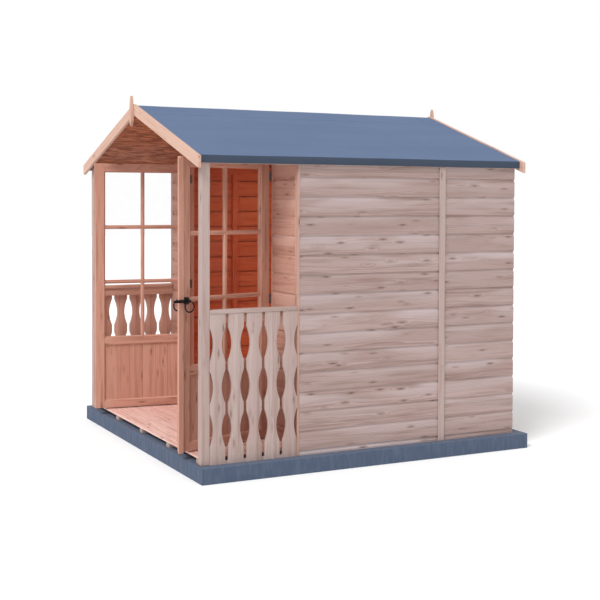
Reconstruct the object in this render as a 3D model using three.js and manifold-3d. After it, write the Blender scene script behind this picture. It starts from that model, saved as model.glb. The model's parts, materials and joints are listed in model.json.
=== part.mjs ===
// A timber summerhouse: one room behind an open verandah, under a felted gable roof.
// Millimetres, +Z up. The verandah faces -Y, X runs across the front, and Z is 0 under the plinth.
import * as THREE from 'three';
import { mergeVertices } from 'three/addons/utils/BufferGeometryUtils.js';
import Module from 'manifold-3d';

const wasm = await Module();
wasm.setup();

// Overall sizes
const WIDTH = 2026;             // over the outer faces of the side walls
const DEPTH = 2100;             // from the front of the posts to the outer face of the back wall
const VERANDAH = 587;           // from the front of the posts to the outer face of the front wall
const WALL_HEIGHT = 1687;       // from the plinth to the roof deck, at the side walls' outer faces
const PITCH = THREE.MathUtils.degToRad(18.2);

// Plinth and floor
const PLINTH_HEIGHT = 91;
const PLINTH_SIDE = 60;         // how far the plinth reaches past the side walls
const PLINTH_FRONT = 20;        // how far it reaches past the posts
const PLINTH_BACK = 72;         // how far it reaches past the back wall
const JOIST_HEIGHT = 25;
const JOIST_WIDTH = 44;
const JOIST_COUNT = 5;
const FLOOR_BOARD = 12;
const FLOOR_SETBACK = 8;        // the floor's front edge lies this far behind the post fronts

// Walls
const CLADDING = 12;
const BATTEN = 28;              // depth of the framing behind the cladding
const STUD_WIDTH = 44;
const SEAM_FROM_BACK = 541;     // centre of the seam between a side wall's two panels
const COVER_WIDTH = 42;
const COVER_THICK = 9;
const CORNER_WIDTH = 39;        // strips between the front boards and the side walls' faces

// Doorway and door leaves
const DOORWAY_HALF = 662;
const LEAF_HEIGHT = 1648;
const DOOR_BOTTOM_GAP = 9;      // floor to the foot of a leaf
const DOOR_SIDE_GAP = 5;
const DOOR_TOP_GAP = 6;
const JAMB_FACE = 19;           // width of the jamb left showing beside the cladding
const JAMB_WIDTH = 44;
const LEAF_THICK = 34;
const STILE_WIDTH = 70;
const TOP_RAIL = 60;
const LOCK_RAIL = 62;
const BOTTOM_RAIL = 54;
const LOWER_PANEL = 366;        // height of the boarded panel below the lock rail
const BAR_WIDTH = 26;
const BAR_THICK = 22;
const GLASS_THICK = 4;
const PANEL_THICK = 11;
const GLASS_GROOVE = 6;         // how far the glass is let into the frame round it
const PANEL_GROOVE = 8;         // how far the lower panel is let in
const OVERLAP = 1;              // how far solids run into each other before they are joined or cut
const PANE_ROWS = 3;
const LEFT_OPEN = 96;           // degrees from closed, as the doors stand
const RIGHT_OPEN = 106;
const MEETING_STRIP_WIDTH = 36;
const MEETING_STRIP_LAP = 25;   // how far the strip reaches past the right leaf's free edge
const MEETING_STRIP_THICK = 12;
const MEETING_STRIP_DROP = 4;   // the strip's foot hangs this far below the leaf
const MEETING_STRIP_SHORT = 10; // its top stops this far below the leaf's

// Hinges and latch
const PIN_RADIUS = 4.5;
const PIN_STANDOFF = 0.5;       // between a knuckle and the wall's face
const HINGE_LENGTH = 58;
const HINGE_INSET = 100;        // outer hinges' middles from the ends of the leaf
const MIDDLE_HINGE = 823;       // middle hinge above the foot of the leaf
const HINGE_PLATE = 2;
const HINGE_EDGE = 2;           // hinge plate short of the jamb's edge
const LATCH_RISE = 844;         // spindle above the foot of the leaf
const LATCH_FROM_EDGE = 32;     // spindle to the right leaf's free edge
const LATCH_PLATE = 40;
const LATCH_PLATE_THICK = 4;
const SPINDLE_RADIUS = 5;
const SPINDLE_CLEARANCE = 0.6;
const BAR_REACH = 66;           // how far the latch bar passes the free edge
const BAR_HEIGHT = 22;
const LATCH_BAR_THICK = 5;
const RING_RADIUS = 31;
const RING_WIRE = 3.5;
const RING_STANDOFF = 36;       // leaf face to the middle of a ring
const SPINDLE_END = 6;          // spindle past the middle of each ring
const KEEP_FROM_EDGE = 20;      // keep to the left leaf's free edge
const KEEP_THICK = 3;
const KEEP_DROP = 20;           // keep's plate below its ledge
const LEDGE_REACH = 24;         // ledge out from the leaf's face
const LEDGE_THICK = 5;
const MOVING_GAP = 5;

// Verandah
const POST = 50;
const BALUSTER_COUNT = 5;
const BALUSTER_PITCH = 111;      // the outer two are cut narrower where the space runs out
const BALUSTER_THICK = 15;
const NECK_HALF = 9;            // half the slot between two balusters at its necks
const BULGE_HALF = 30;          // half the slot at its bulges
const BULGES = 3;
const BULGE_FULLNESS = 0.9;     // power of the sine that shapes a bulge: lower is fuller
const BULGE_STEPS = 8;
const BULGE_LENGTH = 182;
const BULGE_PITCH = 236;
const FIRST_BULGE = 171;        // centre of the lowest bulge above the slot's foot
const SLOT_FOOT = 18;           // solid foot of the balustrade below its slots
const BALUSTRADE_HEIGHT = 828;  // plinth to the underside of the handrail
const RAIL_HEIGHT = 50;         // rails behind the balusters
const RAIL_DEPTH = 28;
const FOOT_RAIL_RISE = 1;       // foot rail above the floor
const HANDRAIL_THICK = 22;
const HANDRAIL_WIDTH = 60;
const HANDRAIL_OVER = 5;        // handrail past the outer face of the balusters
const EAVES_RAIL_HEIGHT = 34;

// Roof
const OVERHANG = 23;            // deck past the posts and past the back wall
const EAVES_BATTEN = 17;        // batten between the side wall and the felt
const EAVES_BATTEN_HEIGHT = 30;
const DECK = 11;
const FELT = 2.5;
const FELT_DROP = 40;           // felt turned down over the eaves
const BARGE_DEPTH = 63;
const BARGE_THICK = 20;
const BARGE_STANDS = 7;         // barge board's top edge above the felt
const BARGE_REACH = 55;         // plumb end of each barge board past the side wall
const FINIAL_WIDTH = 38;
const FINIAL_RISE = 56;         // top of each finial above the felt at the ridge
const FINIAL_LENGTH = 186;
const FINIAL_THICK = 18;        // finials are fixed on the faces of the barge boards
const FINIAL_FOOT_HALF = 3;     // half width at the foot, at the neck and at the shoulders
const FINIAL_NECK_HALF = 8;
const FINIAL_FOOT_TAPER = 34;   // heights of the tapered foot, the tapered head and its point
const FINIAL_HEAD_TAPER = 88;
const FINIAL_POINT = 22;
const RIDGE_WIDTH = 28;
const RIDGE_HEIGHT = 60;

const GAP = 0.3;                // kept between pieces that touch

// Places that follow from the sizes
const sideX = WIDTH / 2;
const frontY = -DEPTH / 2;
const backY = DEPTH / 2;
const wallY = frontY + VERANDAH;
const slope = Math.tan(PITCH);
const lean = 1 / Math.cos(PITCH);
const wallTop = PLINTH_HEIGHT + WALL_HEIGHT;
const floorTop = PLINTH_HEIGHT + JOIST_HEIGHT + FLOOR_BOARD;
const innerX = sideX - CLADDING;
const roomX = innerX - BATTEN;
const roomBackY = backY - CLADDING - BATTEN;
const deckEdge = sideX + EAVES_BATTEN;
const feltOuter = deckEdge + GAP + FELT;
const deckUnder = (x) => wallTop + (sideX - Math.abs(x)) * slope;
const feltTop = (x) => deckUnder(x) + (DECK + FELT) * lean + GAP;
const leafBottom = floorTop + DOOR_BOTTOM_GAP;
const doorTop = leafBottom + LEAF_HEIGHT;
const latchHeight = leafBottom + LATCH_RISE;
const railTop = PLINTH_HEIGHT + BALUSTRADE_HEIGHT;
const battenLow = deckUnder(deckEdge) - GAP - EAVES_BATTEN_HEIGHT;

const paint = (hex, roughness, metalness = 0) =>
  new THREE.MeshStandardMaterial({ color: hex, roughness, metalness });
const materials = {
  cladding: paint(0xc2a79b, 0.75),
  timber: paint(0xcfb0a0, 0.72),
  floor: paint(0xe0b096, 0.7),
  lining: paint(0xb0562c, 0.8),
  felt: paint(0x64779b, 0.95),
  plinth: paint(0x485a80, 0.9),
  iron: paint(0x16171a, 0.5, 0.8),
  glass: paint(0xf2f6f7, 0.08),
};

const house = new THREE.Group();
house.name = 'summerhouse';

// ---- shape helpers ----

function box(x0, x1, y0, y1, z0, z1) {
  const shape = new THREE.BoxGeometry(x1 - x0, y1 - y0, z1 - z0);
  return shape.translate((x0 + x1) / 2, (y0 + y1) / 2, (z0 + z1) / 2);
}

function mirroredBox(side, x0, x1, y0, y1, z0, z1) {
  return side > 0 ? box(x0, x1, y0, y1, z0, z1) : box(-x1, -x0, y0, y1, z0, z1);
}

function outline(points) {
  return new THREE.Shape(points.map(([a, b]) => new THREE.Vector2(a, b)));
}

// an outline in X and Z, carried along Y
function alongY(points, y0, y1) {
  const shape = new THREE.ExtrudeGeometry(outline(points), { depth: y1 - y0, bevelEnabled: false });
  return shape.rotateX(Math.PI / 2).translate(0, y1, 0);
}

// an outline in Y and Z, carried along X
function alongX(points, x0, x1) {
  const shape = new THREE.ExtrudeGeometry(outline(points), { depth: x1 - x0, bevelEnabled: false });
  const turn = new THREE.Matrix4().makeBasis(
    new THREE.Vector3(0, 1, 0), new THREE.Vector3(0, 0, 1), new THREE.Vector3(1, 0, 0));
  return shape.applyMatrix4(turn).translate(x0, 0, 0);
}

function solid(geometry) {
  const plain = geometry.clone();
  plain.deleteAttribute('normal');
  plain.deleteAttribute('uv');
  const merged = mergeVertices(plain, 1e-4);
  return new wasm.Manifold(new wasm.Mesh({
    numProp: 3,
    vertProperties: new Float32Array(merged.attributes.position.array),
    triVerts: new Uint32Array(merged.index.array),
  }));
}

function union(...geometries) {
  return geometries.map(solid).reduce((whole, piece) => whole.add(piece));
}

function geometryOf(manifold) {
  const mesh = manifold.getMesh();
  const shape = new THREE.BufferGeometry();
  shape.setAttribute('position', new THREE.BufferAttribute(mesh.vertProperties, 3));
  shape.setIndex(new THREE.BufferAttribute(mesh.triVerts, 1));
  return shape;
}

function add(name, shape, material, parent = house) {
  const geometry = shape.isBufferGeometry ? shape : geometryOf(shape);
  const mesh = new THREE.Mesh(geometry, material);
  mesh.name = name;
  parent.add(mesh);
}

const sideName = (side) => (side > 0 ? 'right' : 'left');

// ---- plinth and floor ----

function buildPlinth() {
  add('plinth', box(-sideX - PLINTH_SIDE, sideX + PLINTH_SIDE,
    frontY - PLINTH_FRONT, backY + PLINTH_BACK, 0, PLINTH_HEIGHT), materials.plinth);
}

function buildFloor() {
  const edge = sideX - POST - GAP;
  const front = frontY + FLOOR_SETBACK;
  const back = roomBackY - GAP;
  const top = PLINTH_HEIGHT + JOIST_HEIGHT;
  const pieces = [];
  for (let i = 0; i < JOIST_COUNT; i += 1) {
    const x = (i / (JOIST_COUNT - 1) - 0.5) * 2 * (edge - JOIST_WIDTH / 2);
    pieces.push(box(x - JOIST_WIDTH / 2, x + JOIST_WIDTH / 2, front, back, PLINTH_HEIGHT, top));
  }
  for (const y of [front + DEPTH / 4, back - DEPTH / 4]) {
    pieces.push(box(-edge, edge, y, y + JOIST_WIDTH, PLINTH_HEIGHT, top));
  }
  add('floor_joists', union(...pieces), materials.timber);
  add('floor', box(-edge, edge, front, back, top, floorTop), materials.floor);
}

// ---- walls ----

function sideWallSection(x0, x1, z0) {
  return [[x0, z0], [x1, z0], [x1, deckUnder(x1) - GAP], [x0, deckUnder(x0) - GAP]];
}

function mirrored(points, side) {
  return side > 0 ? points : points.map(([a, b]) => [-a, b]).reverse();
}

function buildSideWall(side) {
  const name = sideName(side);
  const section = sideWallSection(innerX, sideX, PLINTH_HEIGHT);
  add(`${name}_cladding`, alongY(mirrored(section, side), wallY + CLADDING + GAP, backY),
    materials.cladding);

  const front = wallY + CLADDING + GAP;
  const back = backY - CLADDING - GAP;
  const seam = backY - SEAM_FROM_BACK;
  const inner = roomX + GAP;
  const outer = innerX - GAP;
  const stud = (y0, y1) =>
    alongY(mirrored(sideWallSection(inner, outer, PLINTH_HEIGHT), side), y0, y1);
  const studs = [
    stud(front, front + STUD_WIDTH),
    stud((front + seam) / 2 - STUD_WIDTH / 2, (front + seam) / 2 + STUD_WIDTH / 2),
    stud(seam - STUD_WIDTH, seam + STUD_WIDTH),
    stud(back - STUD_WIDTH, back),
  ];
  const rail = (z0, z1) => mirroredBox(side, inner, outer, front, back, z0, z1);
  const plateTop = deckUnder(outer) - GAP;
  const rails = [
    rail(PLINTH_HEIGHT, floorTop + STUD_WIDTH),
    rail(plateTop - STUD_WIDTH, plateTop),
  ];
  add(`${name}_wall_frame`, union(...studs, ...rails), materials.lining);

  add(`${name}_cover_strip`, mirroredBox(side, sideX + GAP, sideX + GAP + COVER_THICK,
    seam - COVER_WIDTH / 2, seam + COVER_WIDTH / 2, PLINTH_HEIGHT, battenLow - GAP),
    materials.timber);
}

function gablePoints(halfWidth, z0) {
  const top = (x) => deckUnder(x) - GAP;
  return [[-halfWidth, z0], [halfWidth, z0], [halfWidth, top(halfWidth)], [0, top(0)],
    [-halfWidth, top(halfWidth)]];
}

// the ridge beam passes through a notch in each gable
function ridgeNotch(y0, y1) {
  const half = RIDGE_WIDTH / 2 + GAP;
  return box(-half, half, y0, y1, deckUnder(half) - RIDGE_HEIGHT - 2 * GAP, deckUnder(0) + GAP);
}

function buildBackWall() {
  const y0 = backY - CLADDING;
  const half = innerX - GAP;
  const wall = solid(alongY(gablePoints(half, PLINTH_HEIGHT), y0, backY));
  add('back_cladding', wall.subtract(solid(ridgeNotch(y0 - OVERLAP, backY + OVERLAP))), materials.cladding);

  const frame0 = y0 - BATTEN;
  const frame1 = y0 - GAP;
  const frameHalf = roomX - GAP;
  const stud = (x) => box(x - STUD_WIDTH / 2, x + STUD_WIDTH / 2, frame0, frame1,
    PLINTH_HEIGHT, deckUnder(Math.abs(x) + STUD_WIDTH / 2) - RIDGE_HEIGHT - GAP);
  const outerStud = frameHalf - STUD_WIDTH / 2;
  const beam = (z0, z1) => box(-frameHalf, frameHalf, frame0, frame1, z0, z1);
  const tie = deckUnder(frameHalf) - RIDGE_HEIGHT - GAP - STUD_WIDTH;
  add('back_wall_frame', union(
    stud(-outerStud), stud(-outerStud / 3), stud(outerStud / 3), stud(outerStud),
    beam(PLINTH_HEIGHT, floorTop + STUD_WIDTH), beam(tie, tie + STUD_WIDTH)), materials.lining);
}

// ---- front wall and doorway ----

const headZ = doorTop + DOOR_TOP_GAP;
const claddingFaceX = DOORWAY_HALF + JAMB_FACE;
const sillZ = floorTop;

function buildFrontWall() {
  const y1 = wallY + CLADDING;
  const half = sideX - CORNER_WIDTH - GAP;
  const split = headZ + JAMB_FACE;
  const wall = solid(alongY(gablePoints(half, sillZ), wallY, y1));
  for (const side of [1, -1]) {
    const panel = mirroredBox(side, claddingFaceX + GAP, sideX, wallY - OVERLAP,
      y1 + OVERLAP, sillZ, split);
    add(`front_${sideName(side)}_cladding`, wall.intersect(solid(panel)), materials.cladding);
  }
  const above = solid(box(-sideX, sideX, wallY - OVERLAP, y1 + OVERLAP,
    split + GAP, deckUnder(0)));
  add('front_gable_cladding',
    wall.intersect(above).subtract(solid(ridgeNotch(wallY - OVERLAP, y1 + OVERLAP))), materials.cladding);

  const frame0 = y1 + GAP;
  const frame1 = y1 + BATTEN;
  for (const side of [1, -1]) {
    const face = mirroredBox(side, DOORWAY_HALF, claddingFaceX, wallY, frame1, sillZ, headZ - GAP);
    const back = mirroredBox(side, DOORWAY_HALF, DOORWAY_HALF + JAMB_WIDTH, frame0, frame1,
      sillZ, headZ - GAP);
    add(`${sideName(side)}_door_jamb`, union(face, back), materials.timber);
  }
  add('door_head', union(
    box(-claddingFaceX, claddingFaceX, wallY, frame1, headZ, split),
    box(-DOORWAY_HALF - JAMB_WIDTH, DOORWAY_HALF + JAMB_WIDTH, frame0, frame1,
      headZ, headZ + JAMB_WIDTH)), materials.timber);

  for (const side of [1, -1]) {
    add(`front_${sideName(side)}_corner_strip`, mirroredBox(side, sideX - CORNER_WIDTH, sideX,
      wallY, y1, PLINTH_HEIGHT, deckUnder(sideX) - GAP), materials.timber);
  }
}

// ---- verandah ----

// a slot between two balusters: straight at its necks, and round at each bulge
function slotGeometry(y, x0, x1) {
  const foot = PLINTH_HEIGHT + SLOT_FOOT;
  const edge = [[NECK_HALF, foot]];
  for (let bulge = 0; bulge < BULGES; bulge += 1) {
    const low = foot + FIRST_BULGE + bulge * BULGE_PITCH - BULGE_LENGTH / 2;
    for (let i = 0; i <= BULGE_STEPS; i += 1) {
      const along = i / BULGE_STEPS;
      const swell = Math.sin(Math.PI * along) ** BULGE_FULLNESS;
      edge.push([NECK_HALF + (BULGE_HALF - NECK_HALF) * swell, low + BULGE_LENGTH * along]);
    }
  }
  edge.push([NECK_HALF, railTop + OVERLAP]);
  const right = edge.map(([half, z]) => [y + half, z]);
  const left = edge.map(([half, z]) => [y - half, z]).reverse();
  return alongX([...right, ...left], x0, x1);
}

function buildBalustrade(side) {
  const y0 = frontY + POST + GAP;
  const y1 = wallY - GAP;
  const top = railTop;
  const place = (x0, x1) => (side > 0 ? [x0, x1] : [-x1, -x0]);
  const [boardX0, boardX1] = place(sideX - BALUSTER_THICK, sideX);
  let boards = solid(box(boardX0, boardX1, y0, y1, PLINTH_HEIGHT, top));
  for (let i = 0; i <= BALUSTER_COUNT; i += 1) {
    const y = (y0 + y1) / 2 + (i - BALUSTER_COUNT / 2) * BALUSTER_PITCH;
    const slot = solid(slotGeometry(y, boardX0 - OVERLAP, boardX1 + OVERLAP));
    boards = boards.subtract(slot);
  }
  const [railX0, railX1] = place(sideX - BALUSTER_THICK - RAIL_DEPTH, sideX - BALUSTER_THICK);
  const topRail = solid(box(railX0, railX1, y0, y1, top - RAIL_HEIGHT, top));
  const footLow = floorTop + FOOT_RAIL_RISE;
  const footRail = solid(box(railX0, railX1, y0, y1, footLow, footLow + RAIL_HEIGHT));
  add(`${sideName(side)}_balustrade`, boards.add(topRail).add(footRail), materials.timber);

  const [capX0, capX1] = place(sideX + HANDRAIL_OVER - HANDRAIL_WIDTH,
    sideX + HANDRAIL_OVER);
  add(`${sideName(side)}_handrail`, box(capX0, capX1, y0, y1, top + GAP,
    top + GAP + HANDRAIL_THICK), materials.timber);
}

function buildVerandah() {
  for (const side of [1, -1]) {
    const top = deckUnder(sideX) - GAP;
    add(`${sideName(side)}_post`, mirroredBox(side, sideX - POST, sideX, frontY, frontY + POST,
      PLINTH_HEIGHT, top), materials.timber);
    add(`${sideName(side)}_eaves_rail`, mirroredBox(side, sideX - BATTEN, sideX,
      frontY + POST + GAP, wallY - GAP, top - EAVES_RAIL_HEIGHT, top), materials.timber);
    buildBalustrade(side);
  }
}

// ---- roof ----

const roofFront = frontY - OVERHANG;
const roofBack = backY + OVERHANG;

function buildRoof() {
  for (const side of [1, -1]) {
    const name = sideName(side);
    const deck = [[GAP, deckUnder(0)], [deckEdge, deckUnder(deckEdge)],
      [deckEdge, deckUnder(deckEdge) + DECK * lean], [GAP, deckUnder(0) + DECK * lean]];
    add(`${name}_roof_deck`, alongY(mirrored(deck, side), roofFront, roofBack), materials.lining);

    const battenTop = (x) => deckUnder(x) - GAP;
    const batten = [[sideX + GAP, battenLow], [deckEdge, battenLow], [deckEdge, battenTop(deckEdge)],
      [sideX + GAP, battenTop(sideX + GAP)]];
    add(`${name}_eaves_batten`, alongY(mirrored(batten, side), roofFront, roofBack),
      materials.timber);
  }
  add('ridge_beam', box(-RIDGE_WIDTH / 2, RIDGE_WIDTH / 2, roofFront, roofBack,
    deckUnder(RIDGE_WIDTH / 2) - RIDGE_HEIGHT, deckUnder(RIDGE_WIDTH / 2) - GAP), materials.timber);

  const under = (x) => feltTop(x) - FELT * lean;
  const inner = deckEdge + GAP;
  const foot = feltTop(feltOuter) - FELT_DROP;
  const felt = [[0, under(0)], [inner, under(inner)], [inner, foot], [feltOuter, foot],
    [feltOuter, feltTop(feltOuter)], [0, feltTop(0)],
    [-feltOuter, feltTop(feltOuter)], [-feltOuter, foot], [-inner, foot], [-inner, under(inner)]];
  add('roof_felt', alongY(felt, roofFront, roofBack), materials.felt);
}

function finialOutline() {
  const half = FINIAL_WIDTH / 2;
  const top = feltTop(0) + FINIAL_RISE;
  const low = top - FINIAL_LENGTH;
  return [[-FINIAL_FOOT_HALF, low], [FINIAL_FOOT_HALF, low], [half, low + FINIAL_FOOT_TAPER],
    [half, top - FINIAL_HEAD_TAPER], [FINIAL_NECK_HALF, top - FINIAL_POINT], [0, top],
    [-FINIAL_NECK_HALF, top - FINIAL_POINT], [-half, top - FINIAL_HEAD_TAPER],
    [-half, low + FINIAL_FOOT_TAPER]];
}

function buildBargeBoards() {
  const topEdge = (x) => feltTop(x) + BARGE_STANDS;
  const inner = GAP;
  const end = sideX + BARGE_REACH;
  const depth = BARGE_DEPTH * lean;
  const board = [[inner, topEdge(inner) - depth], [end, topEdge(end) - depth],
    [end, topEdge(end)], [inner, topEdge(inner)]];
  for (const [where, y0] of [['front', roofFront - GAP - BARGE_THICK], ['back', roofBack + GAP]]) {
    for (const side of [1, -1]) {
      add(`${where}_${sideName(side)}_barge_board`,
        alongY(mirrored(board, side), y0, y0 + BARGE_THICK), materials.timber);
    }
    const face = where === 'front' ? y0 - GAP - FINIAL_THICK : y0 + BARGE_THICK + GAP;
    add(`${where}_finial`, alongY(finialOutline(), face, face + FINIAL_THICK), materials.timber);
  }
}

// ---- door leaves ----
// A leaf is drawn shut. u runs from its hinge pin along the leaf, v from the pin into the house.

const pinX = DOORWAY_HALF - DOOR_SIDE_GAP / 2;
const pinY = wallY - PIN_RADIUS - PIN_STANDOFF;
const leafStart = DOOR_SIDE_GAP / 2;
const leafEnd = pinX - DOOR_SIDE_GAP;
const faceV = wallY - pinY;
const backV = faceV + LEAF_THICK;

function leafBox(side, u0, u1, v0, v1, z0, z1) {
  return side > 0 ? box(-u1, -u0, v0, v1, z0, z1) : box(u0, u1, v0, v1, z0, z1);
}

function leafDisc(side, radius, u, z, v0, v1, sides = 24) {
  const shape = new THREE.CylinderGeometry(radius, radius, v1 - v0, sides);
  return shape.translate(-side * u, (v0 + v1) / 2, z);
}

const panelTop = leafBottom + BOTTOM_RAIL + LOWER_PANEL;
const glassBottom = panelTop + LOCK_RAIL;
const glassTop = doorTop - TOP_RAIL;

function buildLeafFrame(side, group) {
  const part = (u0, u1, z0, z1) => solid(leafBox(side, u0, u1, faceV, backV, z0, z1));
  const mid = (faceV + backV) / 2;
  const bar = (u0, u1, z0, z1) => solid(
    leafBox(side, u0, u1, mid - BAR_THICK / 2, mid + BAR_THICK / 2, z0, z1));
  const in0 = leafStart + STILE_WIDTH;
  const in1 = leafEnd - STILE_WIDTH;
  let frame = part(leafStart, in0, leafBottom, doorTop)
    .add(part(in1, leafEnd, leafBottom, doorTop))
    .add(part(in0 - OVERLAP, in1 + OVERLAP, leafBottom, leafBottom + BOTTOM_RAIL))
    .add(part(in0 - OVERLAP, in1 + OVERLAP, panelTop, glassBottom))
    .add(part(in0 - OVERLAP, in1 + OVERLAP, glassTop, doorTop));
  const middle = (in0 + in1) / 2;
  frame = frame.add(bar(middle - BAR_WIDTH / 2, middle + BAR_WIDTH / 2, glassBottom - OVERLAP,
    glassTop + OVERLAP));
  for (let row = 1; row < PANE_ROWS; row += 1) {
    const z = glassBottom + (glassTop - glassBottom) * row / PANE_ROWS;
    frame = frame.add(bar(in0 - OVERLAP, in1 + OVERLAP, z - BAR_WIDTH / 2, z + BAR_WIDTH / 2));
  }
  const sheet = (groove, gap, thick, z0, z1) => leafBox(side, in0 - groove + gap,
    in1 + groove - gap, mid - thick / 2, mid + thick / 2, z0 - groove + gap, z1 + groove - gap);
  const low = leafBottom + BOTTOM_RAIL;
  frame = frame
    .subtract(solid(sheet(GLASS_GROOVE, 0, GLASS_THICK + 2 * GAP, glassBottom, glassTop)))
    .subtract(solid(sheet(PANEL_GROOVE, 0, PANEL_THICK + 2 * GAP, low, panelTop)));
  add(`${sideName(side)}_door_glass`, sheet(GLASS_GROOVE, GAP, GLASS_THICK, glassBottom, glassTop),
    materials.glass, group);
  add(`${sideName(side)}_door_panel`, sheet(PANEL_GROOVE, GAP, PANEL_THICK, low, panelTop),
    materials.timber, group);
  if (side > 0) {
    frame = frame.subtract(solid(leafDisc(side, SPINDLE_RADIUS + SPINDLE_CLEARANCE,
      leafEnd - LATCH_FROM_EDGE, latchHeight, faceV - OVERLAP, backV + OVERLAP)));
  }
  add(`${sideName(side)}_door_frame`, frame, materials.timber, group);
}

function buildMeetingStrip(group) {
  const u0 = leafEnd + MEETING_STRIP_LAP - MEETING_STRIP_WIDTH;
  const u1 = leafEnd + MEETING_STRIP_LAP;
  const out = faceV - GAP - MEETING_STRIP_THICK;
  const lift = faceV - MOVING_GAP;
  const z0 = leafBottom - MEETING_STRIP_DROP;
  const z1 = doorTop - MEETING_STRIP_SHORT;
  const flat = solid(leafBox(1, u0, leafEnd, out, faceV - GAP, z0, z1));
  const lap = solid(leafBox(1, leafEnd - OVERLAP, u1, out, lift, z0, z1));
  add('meeting_strip', flat.add(lap), materials.timber, group);
}

function ringGeometry(side, v) {
  const ring = new THREE.TorusGeometry(RING_RADIUS, RING_WIRE, 8, 28);
  return ring.rotateX(Math.PI / 2).translate(-side * (leafEnd - LATCH_FROM_EDGE), v,
    latchHeight - RING_RADIUS);
}

function buildLatch(group) {
  const u = leafEnd - LATCH_FROM_EDGE;
  const half = LATCH_PLATE / 2;
  const plateV = faceV - GAP;
  const lapEdge = leafEnd + MEETING_STRIP_LAP - MEETING_STRIP_WIDTH;
  const plate = solid(leafBox(1, u - half, Math.min(u + half, lapEdge - GAP),
    plateV - LATCH_PLATE_THICK, plateV, latchHeight - half, latchHeight + half));
  const hole = solid(leafDisc(1, SPINDLE_RADIUS + SPINDLE_CLEARANCE, u, latchHeight,
    plateV - LATCH_PLATE_THICK - OVERLAP, plateV + OVERLAP));
  add('latch_plate', plate.subtract(hole), materials.iron, group);

  const barV1 = faceV - GAP - MEETING_STRIP_THICK - MOVING_GAP;
  const barV0 = barV1 - LATCH_BAR_THICK;
  const outV = faceV - RING_STANDOFF;
  const inV = backV + RING_STANDOFF;
  const bar = leafBox(1, u - BAR_HEIGHT / 2, leafEnd + BAR_REACH, barV0, barV1,
    latchHeight - BAR_HEIGHT / 2, latchHeight + BAR_HEIGHT / 2);
  const spindle = leafDisc(1, SPINDLE_RADIUS, u, latchHeight, outV - SPINDLE_END,
    inV + SPINDLE_END);
  add('ring_latch', union(bar, spindle, ringGeometry(1, outV), ringGeometry(1, inV)),
    materials.iron, group);
}

function buildKeep(group) {
  const ledgeTop = latchHeight - BAR_HEIGHT / 2 - MOVING_GAP;
  const u1 = leafEnd - KEEP_FROM_EDGE;
  const u0 = u1 - LATCH_PLATE / 2;
  const plateV = faceV - GAP;
  const plate = leafBox(-1, u0, u1, plateV - KEEP_THICK, plateV, ledgeTop - KEEP_DROP,
    latchHeight + BAR_HEIGHT);
  const ledge = leafBox(-1, u0, u1, plateV - LEDGE_REACH, plateV - OVERLAP,
    ledgeTop - LEDGE_THICK, ledgeTop);
  add('latch_keep', union(plate, ledge), materials.iron, group);
}

function buildHinges(side) {
  const face = pinY + PIN_RADIUS;
  const heights = [leafBottom + HINGE_INSET, leafBottom + MIDDLE_HINGE, doorTop - HINGE_INSET];
  heights.forEach((z, i) => {
    const z0 = z - HINGE_LENGTH / 2;
    const z1 = z + HINGE_LENGTH / 2;
    const knuckle = new THREE.CylinderGeometry(PIN_RADIUS, PIN_RADIUS, HINGE_LENGTH, 16)
      .rotateX(Math.PI / 2).translate(side * pinX, pinY, z);
    const plate = mirroredBox(side, pinX, claddingFaceX - HINGE_EDGE,
      face - HINGE_PLATE, wallY - GAP, z0, z1);
    add(`${sideName(side)}_hinge_${['low', 'middle', 'high'][i]}`, union(knuckle, plate),
      materials.iron);
  });
}

function buildDoor(side, open) {
  const group = new THREE.Group();
  group.position.set(side * pinX, pinY, 0);
  group.rotation.z = side * THREE.MathUtils.degToRad(open);
  house.add(group);
  buildLeafFrame(side, group);
  buildHinges(side);
  return group;
}

buildPlinth();
buildFloor();
buildSideWall(1);
buildSideWall(-1);
buildBackWall();
buildFrontWall();
buildVerandah();
buildRoof();
buildBargeBoards();
buildKeep(buildDoor(-1, LEFT_OPEN));
const rightDoor = buildDoor(1, RIGHT_OPEN);
buildMeetingStrip(rightDoor);
buildLatch(rightDoor);

export default house;
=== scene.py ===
import json
import math

import bpy
import numpy as np
from mathutils import Matrix, Vector


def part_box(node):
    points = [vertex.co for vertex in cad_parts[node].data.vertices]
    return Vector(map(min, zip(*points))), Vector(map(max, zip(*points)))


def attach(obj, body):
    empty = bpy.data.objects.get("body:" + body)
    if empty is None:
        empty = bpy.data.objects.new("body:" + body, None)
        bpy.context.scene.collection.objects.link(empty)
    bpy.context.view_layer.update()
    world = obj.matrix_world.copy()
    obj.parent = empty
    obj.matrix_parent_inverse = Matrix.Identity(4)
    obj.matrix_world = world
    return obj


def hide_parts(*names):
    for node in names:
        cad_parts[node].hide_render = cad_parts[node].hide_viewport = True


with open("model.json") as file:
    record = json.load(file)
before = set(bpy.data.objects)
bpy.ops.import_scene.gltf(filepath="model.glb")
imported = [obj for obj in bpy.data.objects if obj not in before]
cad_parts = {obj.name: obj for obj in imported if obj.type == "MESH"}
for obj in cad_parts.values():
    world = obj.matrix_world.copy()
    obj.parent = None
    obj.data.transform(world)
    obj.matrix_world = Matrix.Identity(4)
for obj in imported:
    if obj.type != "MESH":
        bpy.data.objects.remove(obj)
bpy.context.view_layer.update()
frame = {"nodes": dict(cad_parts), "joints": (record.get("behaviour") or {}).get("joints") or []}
scene = bpy.context.scene
rng = np.random.default_rng(7)

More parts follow.
